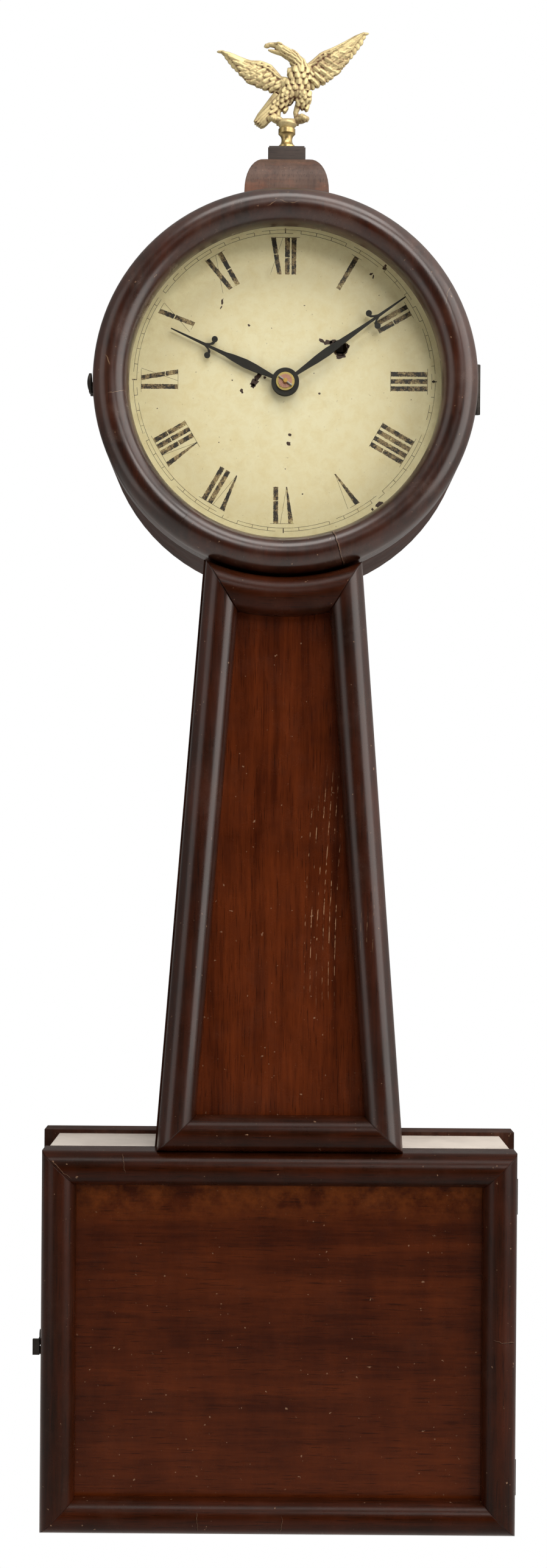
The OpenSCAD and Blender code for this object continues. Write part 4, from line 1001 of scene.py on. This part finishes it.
def finish_case():
    """All the wood. Each crack is its start, end and half width."""
    head = middle("bezel_ring")
    ring_cracks = [
        ((head.x + 0.0262, head.z - 0.0835), (head.x + 0.0340, head.z - 0.1055), 0.0005),
        ((head.x - 0.052, head.z - 0.0733), (head.x - 0.058, head.z - 0.082), 0.0002),
    ]
    door_low, door_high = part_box("door_stiles")
    right, left = door_high.x, door_low.x
    half = (door_low.z + door_high.z) / 2
    stile_cracks = [((right - 0.014, half + 0.0035), (right - 0.001, half + 0.002), 0.00025)]
    rail_cracks = [
        ((left + 0.006, door_high.z - 0.004), (left + 0.017, door_high.z - 0.0155), 0.0003),
        ((left + 0.045, door_high.z - 0.001), (left + 0.047, door_high.z - 0.012), 0.00022),
        ((left + 0.088, door_low.z + 0.002), (left + 0.0875, door_low.z + 0.014), 0.00025),
        ((left + 0.134, door_low.z + 0.001), (left + 0.1345, door_low.z + 0.013), 0.00022),
    ]
    bezel = wood(
        "bezel_mahogany", DARK, BROWN, "z",
        gloss=0.32, coat=0.7, haze=0.16, cracks=ring_cracks, extra=ring_scuffs,
    )
    upright = wood(
        "moulding_upright", DARK, BROWN, "z",
        gloss=0.28, coat=0.55, haze=0.05, extra=stile_marks, shine=0.22,
    )
    door_upright = wood(
        "door_moulding_upright", DARK, BROWN, "z",
        gloss=0.28, coat=0.14, haze=0.04, cracks=stile_cracks, shine=0.1,
    )
    level = wood(
        "moulding_level", DARK, BROWN, "x",
        gloss=0.28, coat=0.05, haze=0.04, cracks=rail_cracks, shine=0.08,
    )
    throat = wood(
        "throat_veneer", srgb(52, 18, 5), srgb(104, 46, 18), "z",
        gloss=0.26, coat=0.08, haze=0.03, cross=0.2, extra=panel_marks, shine=0.1,
    )
    door = wood(
        "door_veneer", srgb(48, 16, 4), srgb(88, 38, 12), "x",
        gloss=0.26, coat=0.08, haze=0.02, cross=0.3, extra=door_glow, shine=0.1,
    )
    shell = wood(
        "case_boards", srgb(34, 16, 9), srgb(78, 42, 28), "z",
        gloss=0.46, coat=0.0, haze=0.2, shine=0.1,
    )
    # the box top's upward faces carry a painted highlight
    top = wood(
        "box_top_board", srgb(60, 44, 34), srgb(96, 76, 62), "x",
        gloss=0.34, coat=0.2, haze=0.3, extra=painted_top_light,
    )
    finial = wood(
        "finial_mahogany", srgb(66, 48, 40), srgb(112, 86, 72), "z",
        gloss=0.5, coat=0.05, haze=0.3, cross=0.1, extra=finial_patches,
    )
    plinth = wood(
        "plinth_mahogany", srgb(34, 26, 22), srgb(66, 52, 44), "x",
        gloss=0.34, coat=0.2, haze=0.3, cross=0.4,
    )
    plain = wood("plain_wood", srgb(120, 88, 58), srgb(160, 124, 86), "z", gloss=0.6, coat=0.0, haze=0.1)
    paint(bezel, "bezel_ring")
    paint(upright, "throat_stiles")
    paint(door_upright, "door_stiles")
    paint(level, "throat_rail_top", "throat_rail_bottom", "door_rails")
    paint(throat, "throat_panel")
    paint(door, "door_panel")
    paint(shell, "backboard", "head_ring", "throat_sides", "box_sides", "box_bottom")
    paint(top, "box_top")
    paint(finial, "finial_bracket")
    paint(plinth, "finial_plinth")
    paint(plain, "weight_partition", "movement_spacers")


def finish_metal():
    works = metal("works_brass", srgb(214, 178, 98), srgb(184, 144, 74), 0.30)
    spool = metal("turned_brass", srgb(198, 180, 126), srgb(150, 122, 78), 0.30, 0.2)
    steel = metal("bright_steel", srgb(168, 168, 170), srgb(128, 126, 124), 0.30)
    iron = metal("black_iron", srgb(62, 58, 54), srgb(38, 35, 32), 0.50, 0.3, None, 1.0, 0.8)
    rust = srgb(70, 52, 36)
    hands = metal("blackened_steel", srgb(30, 29, 28), srgb(44, 42, 38), 0.42, 0.3, rust, 2.0, 0.5)
    paint(works, "back_plate", "front_plate", "plate_pillars", "pendulum_bridge", "great_wheel")
    paint(works, "centre_wheel", "third_wheel", "escape_wheel", "cannon_pinion", "minute_wheel", "hour_wheel")
    paint(works, "pendulum_rod", "pendulum_bob", "weight_pulley", "dial_screws")
    paint(spool, "finial_spool")
    paint(steel, "plate_screws", "movement_screws")
    paint(iron, "hinge_case_leaves", "bezel_hinge_leaf", "door_hinge_leaves")
    paint(steel, "pallets", "crutch", "hand_pin", "minute_post")
    paint(iron, "hanger_plate", "case_screws", "cord_hook", "weight")
    paint(iron, "bezel_catch", "bezel_hook", "door_catch", "door_hook")
    paint(hands, "minute_hand", "hour_hand")
    finish_barrel()


def finish_barrel():
    """Brass drum with a blackened winding square behind the dial's hole."""
    t = Tree("barrel_brass_and_steel")
    _, y, _ = t.axes()
    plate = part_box("front_plate")[0].y
    square = t.span(y, plate - 0.0005, plate, 1.0, 0.0)
    cloud = t.noise(200.0, 4.0)
    brass = t.mix(cloud, srgb(214, 178, 98), srgb(170, 132, 70))
    color = t.mix(square, brass, srgb(36, 30, 26))
    paint(t.finish(color, t.span(cloud, 0.3, 0.7, 0.3, 0.5), 0.9), "barrel")


def finish_collet():
    """Brass disc with a copper washer on its front."""
    t = Tree("collet_brass_and_copper")
    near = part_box("hand_collet")[0].y
    _, y, _ = t.axes()
    front = t.span(y, near + 0.0002, near + 0.00025, 1.0, 0.0)
    cloud = t.noise(500.0, 4.0)
    brass = t.mix(cloud, srgb(236, 216, 140), srgb(190, 160, 90))
    copper = t.mix(cloud, srgb(226, 178, 160), srgb(176, 120, 104))
    color = t.mix(front, brass, copper)
    paint(t.finish(color, t.span(cloud, 0.3, 0.7, 0.25, 0.4), 1.0), "hand_collet")


def finish_dial():
    paint(dial_paint("cream_enamel", middle("dial"), PAINTED_LIGHT_RADIUS), "dial")
    paint(clear_glass("old_glass"), "bezel_glass")
    paint(plain_fibre("old_putty", srgb(62, 44, 32), srgb(44, 30, 22), 400.0), "glass_putty")


# ---- Studio ----

CAMERA_FROM_WALL = 1.223
CAMERA_DROP = 0.2685
CAMERA_LEFT = 0.0061
CLOCK_LEAN = math.radians(0.42)
LENS = 46.7
LENS_SHIFT = (0.0016, 0.0466)


def build_camera():
    data = bpy.data.cameras.new("camera")
    data.sensor_width = 36
    data.lens = LENS
    data.shift_x, data.shift_y = LENS_SHIFT
    data.clip_end = 50
    camera = placed("camera", data)
    turn = Matrix.Rotation(math.radians(90), 4, "X") @ Matrix.Rotation(CLOCK_LEAN, 4, "Z")
    camera.matrix_world = Matrix.Translation((-CAMERA_LEFT, -CAMERA_FROM_WALL, -CAMERA_DROP)) @ turn
    bpy.context.scene.camera = camera


def area_light(name, place, target, size, power, color=(1, 0.95, 0.91)):
    data = bpy.data.lights.new(name, "AREA")
    data.shape = "RECTANGLE"
    data.size, data.size_y = size
    data.energy = power
    data.color = color
    lamp = placed(name, data)
    lamp.location = place
    lamp.rotation_euler = (Vector(target) - Vector(place)).to_track_quat("-Z", "Y").to_euler()


def build_world():
    """White to the camera. It lights from the sides and above, most from the right."""
    t = Tree("studio", world=True)
    bpy.context.scene.world = t.owner
    x, y, z = t.axes()
    depth = t.span(y, -0.85, -0.25, 0.02, 0.56)
    back = t.span(y, 0.0, 0.6, 0.0, -0.34)
    height = t.span(z, -0.7, 0.6, 0.3, 1.6)
    right = t.span(x, -0.7, 0.7, 0.45, 1.65)
    level = t.times(t.times(t.plus(depth, back), height), right)
    lit = t.add("ShaderNodeBackground", {"Color": (1, 0.94, 0.89, 1), "Strength": level})
    seen = t.add("ShaderNodeBackground", {"Color": (1, 1, 1, 1), "Strength": 1.0})
    t.split(t.add("ShaderNodeLightPath").outputs["Is Camera Ray"], lit, seen)


def build_studio():
    scene = bpy.context.scene
    scene.view_settings.view_transform = "Standard"
    scene.view_settings.look = "None"
    build_world()
    centre = (0, -0.05, -0.25)
    area_light("right", (1.35, -1.0, 0.25), centre, (1.3, 2.1), 24)
    area_light("top", (0.1, -0.85, 1.35), (0, -0.05, -0.1), (1.3, 0.6), 15)
    area_light("left", (-1.35, -0.95, 0.1), centre, (0.9, 2.0), 6)
    area_light("front", (0.5, -2.3, 1.2), centre, (0.8, 0.8), 17)
    build_floor()


def build_floor():
    """A wide pale floor well below the hanging clock."""
    size, drop = 6.0, 0.9
    mesh = bpy.data.meshes.new("floor")
    z = cad_box[0][2] - drop
    corners = [(-size, -size, z), (size, -size, z), (size, size, z), (-size, size, z)]
    mesh.from_pydata(corners, [], [(0, 1, 2, 3)])
    floor = placed("floor", mesh)
    t = Tree("pale_floor")
    path = t.add("ShaderNodeLightPath").outputs["Is Camera Ray"]
    shade = t.add("ShaderNodeBsdfDiffuse", {"Color": (0.86, 0.86, 0.85, 1)})
    glow = t.add("ShaderNodeEmission", {"Color": (1, 1, 1, 1), "Strength": 1.0})
    mesh.materials.append(t.split(path, shade, glow))


finish_case()
finish_metal()
finish_collet()
finish_dial()
build_eagle(cast_brass("eagle_brass", srgb(200, 186, 140), srgb(104, 66, 50)))
ink = worn_ink("numeral_paint", srgb(40, 34, 28), srgb(140, 118, 84), 0.47)
faint = worn_ink("line_paint", srgb(84, 74, 56), srgb(150, 136, 98), 0.50)
print_dial(ink, faint)
chip_dial(worn_ink("bare_iron", srgb(58, 36, 26), srgb(84, 54, 38), 0.55))
build_line(plain_fibre("gut_line", srgb(176, 146, 96), srgb(120, 94, 58), 900.0))
build_camera()
build_studio()
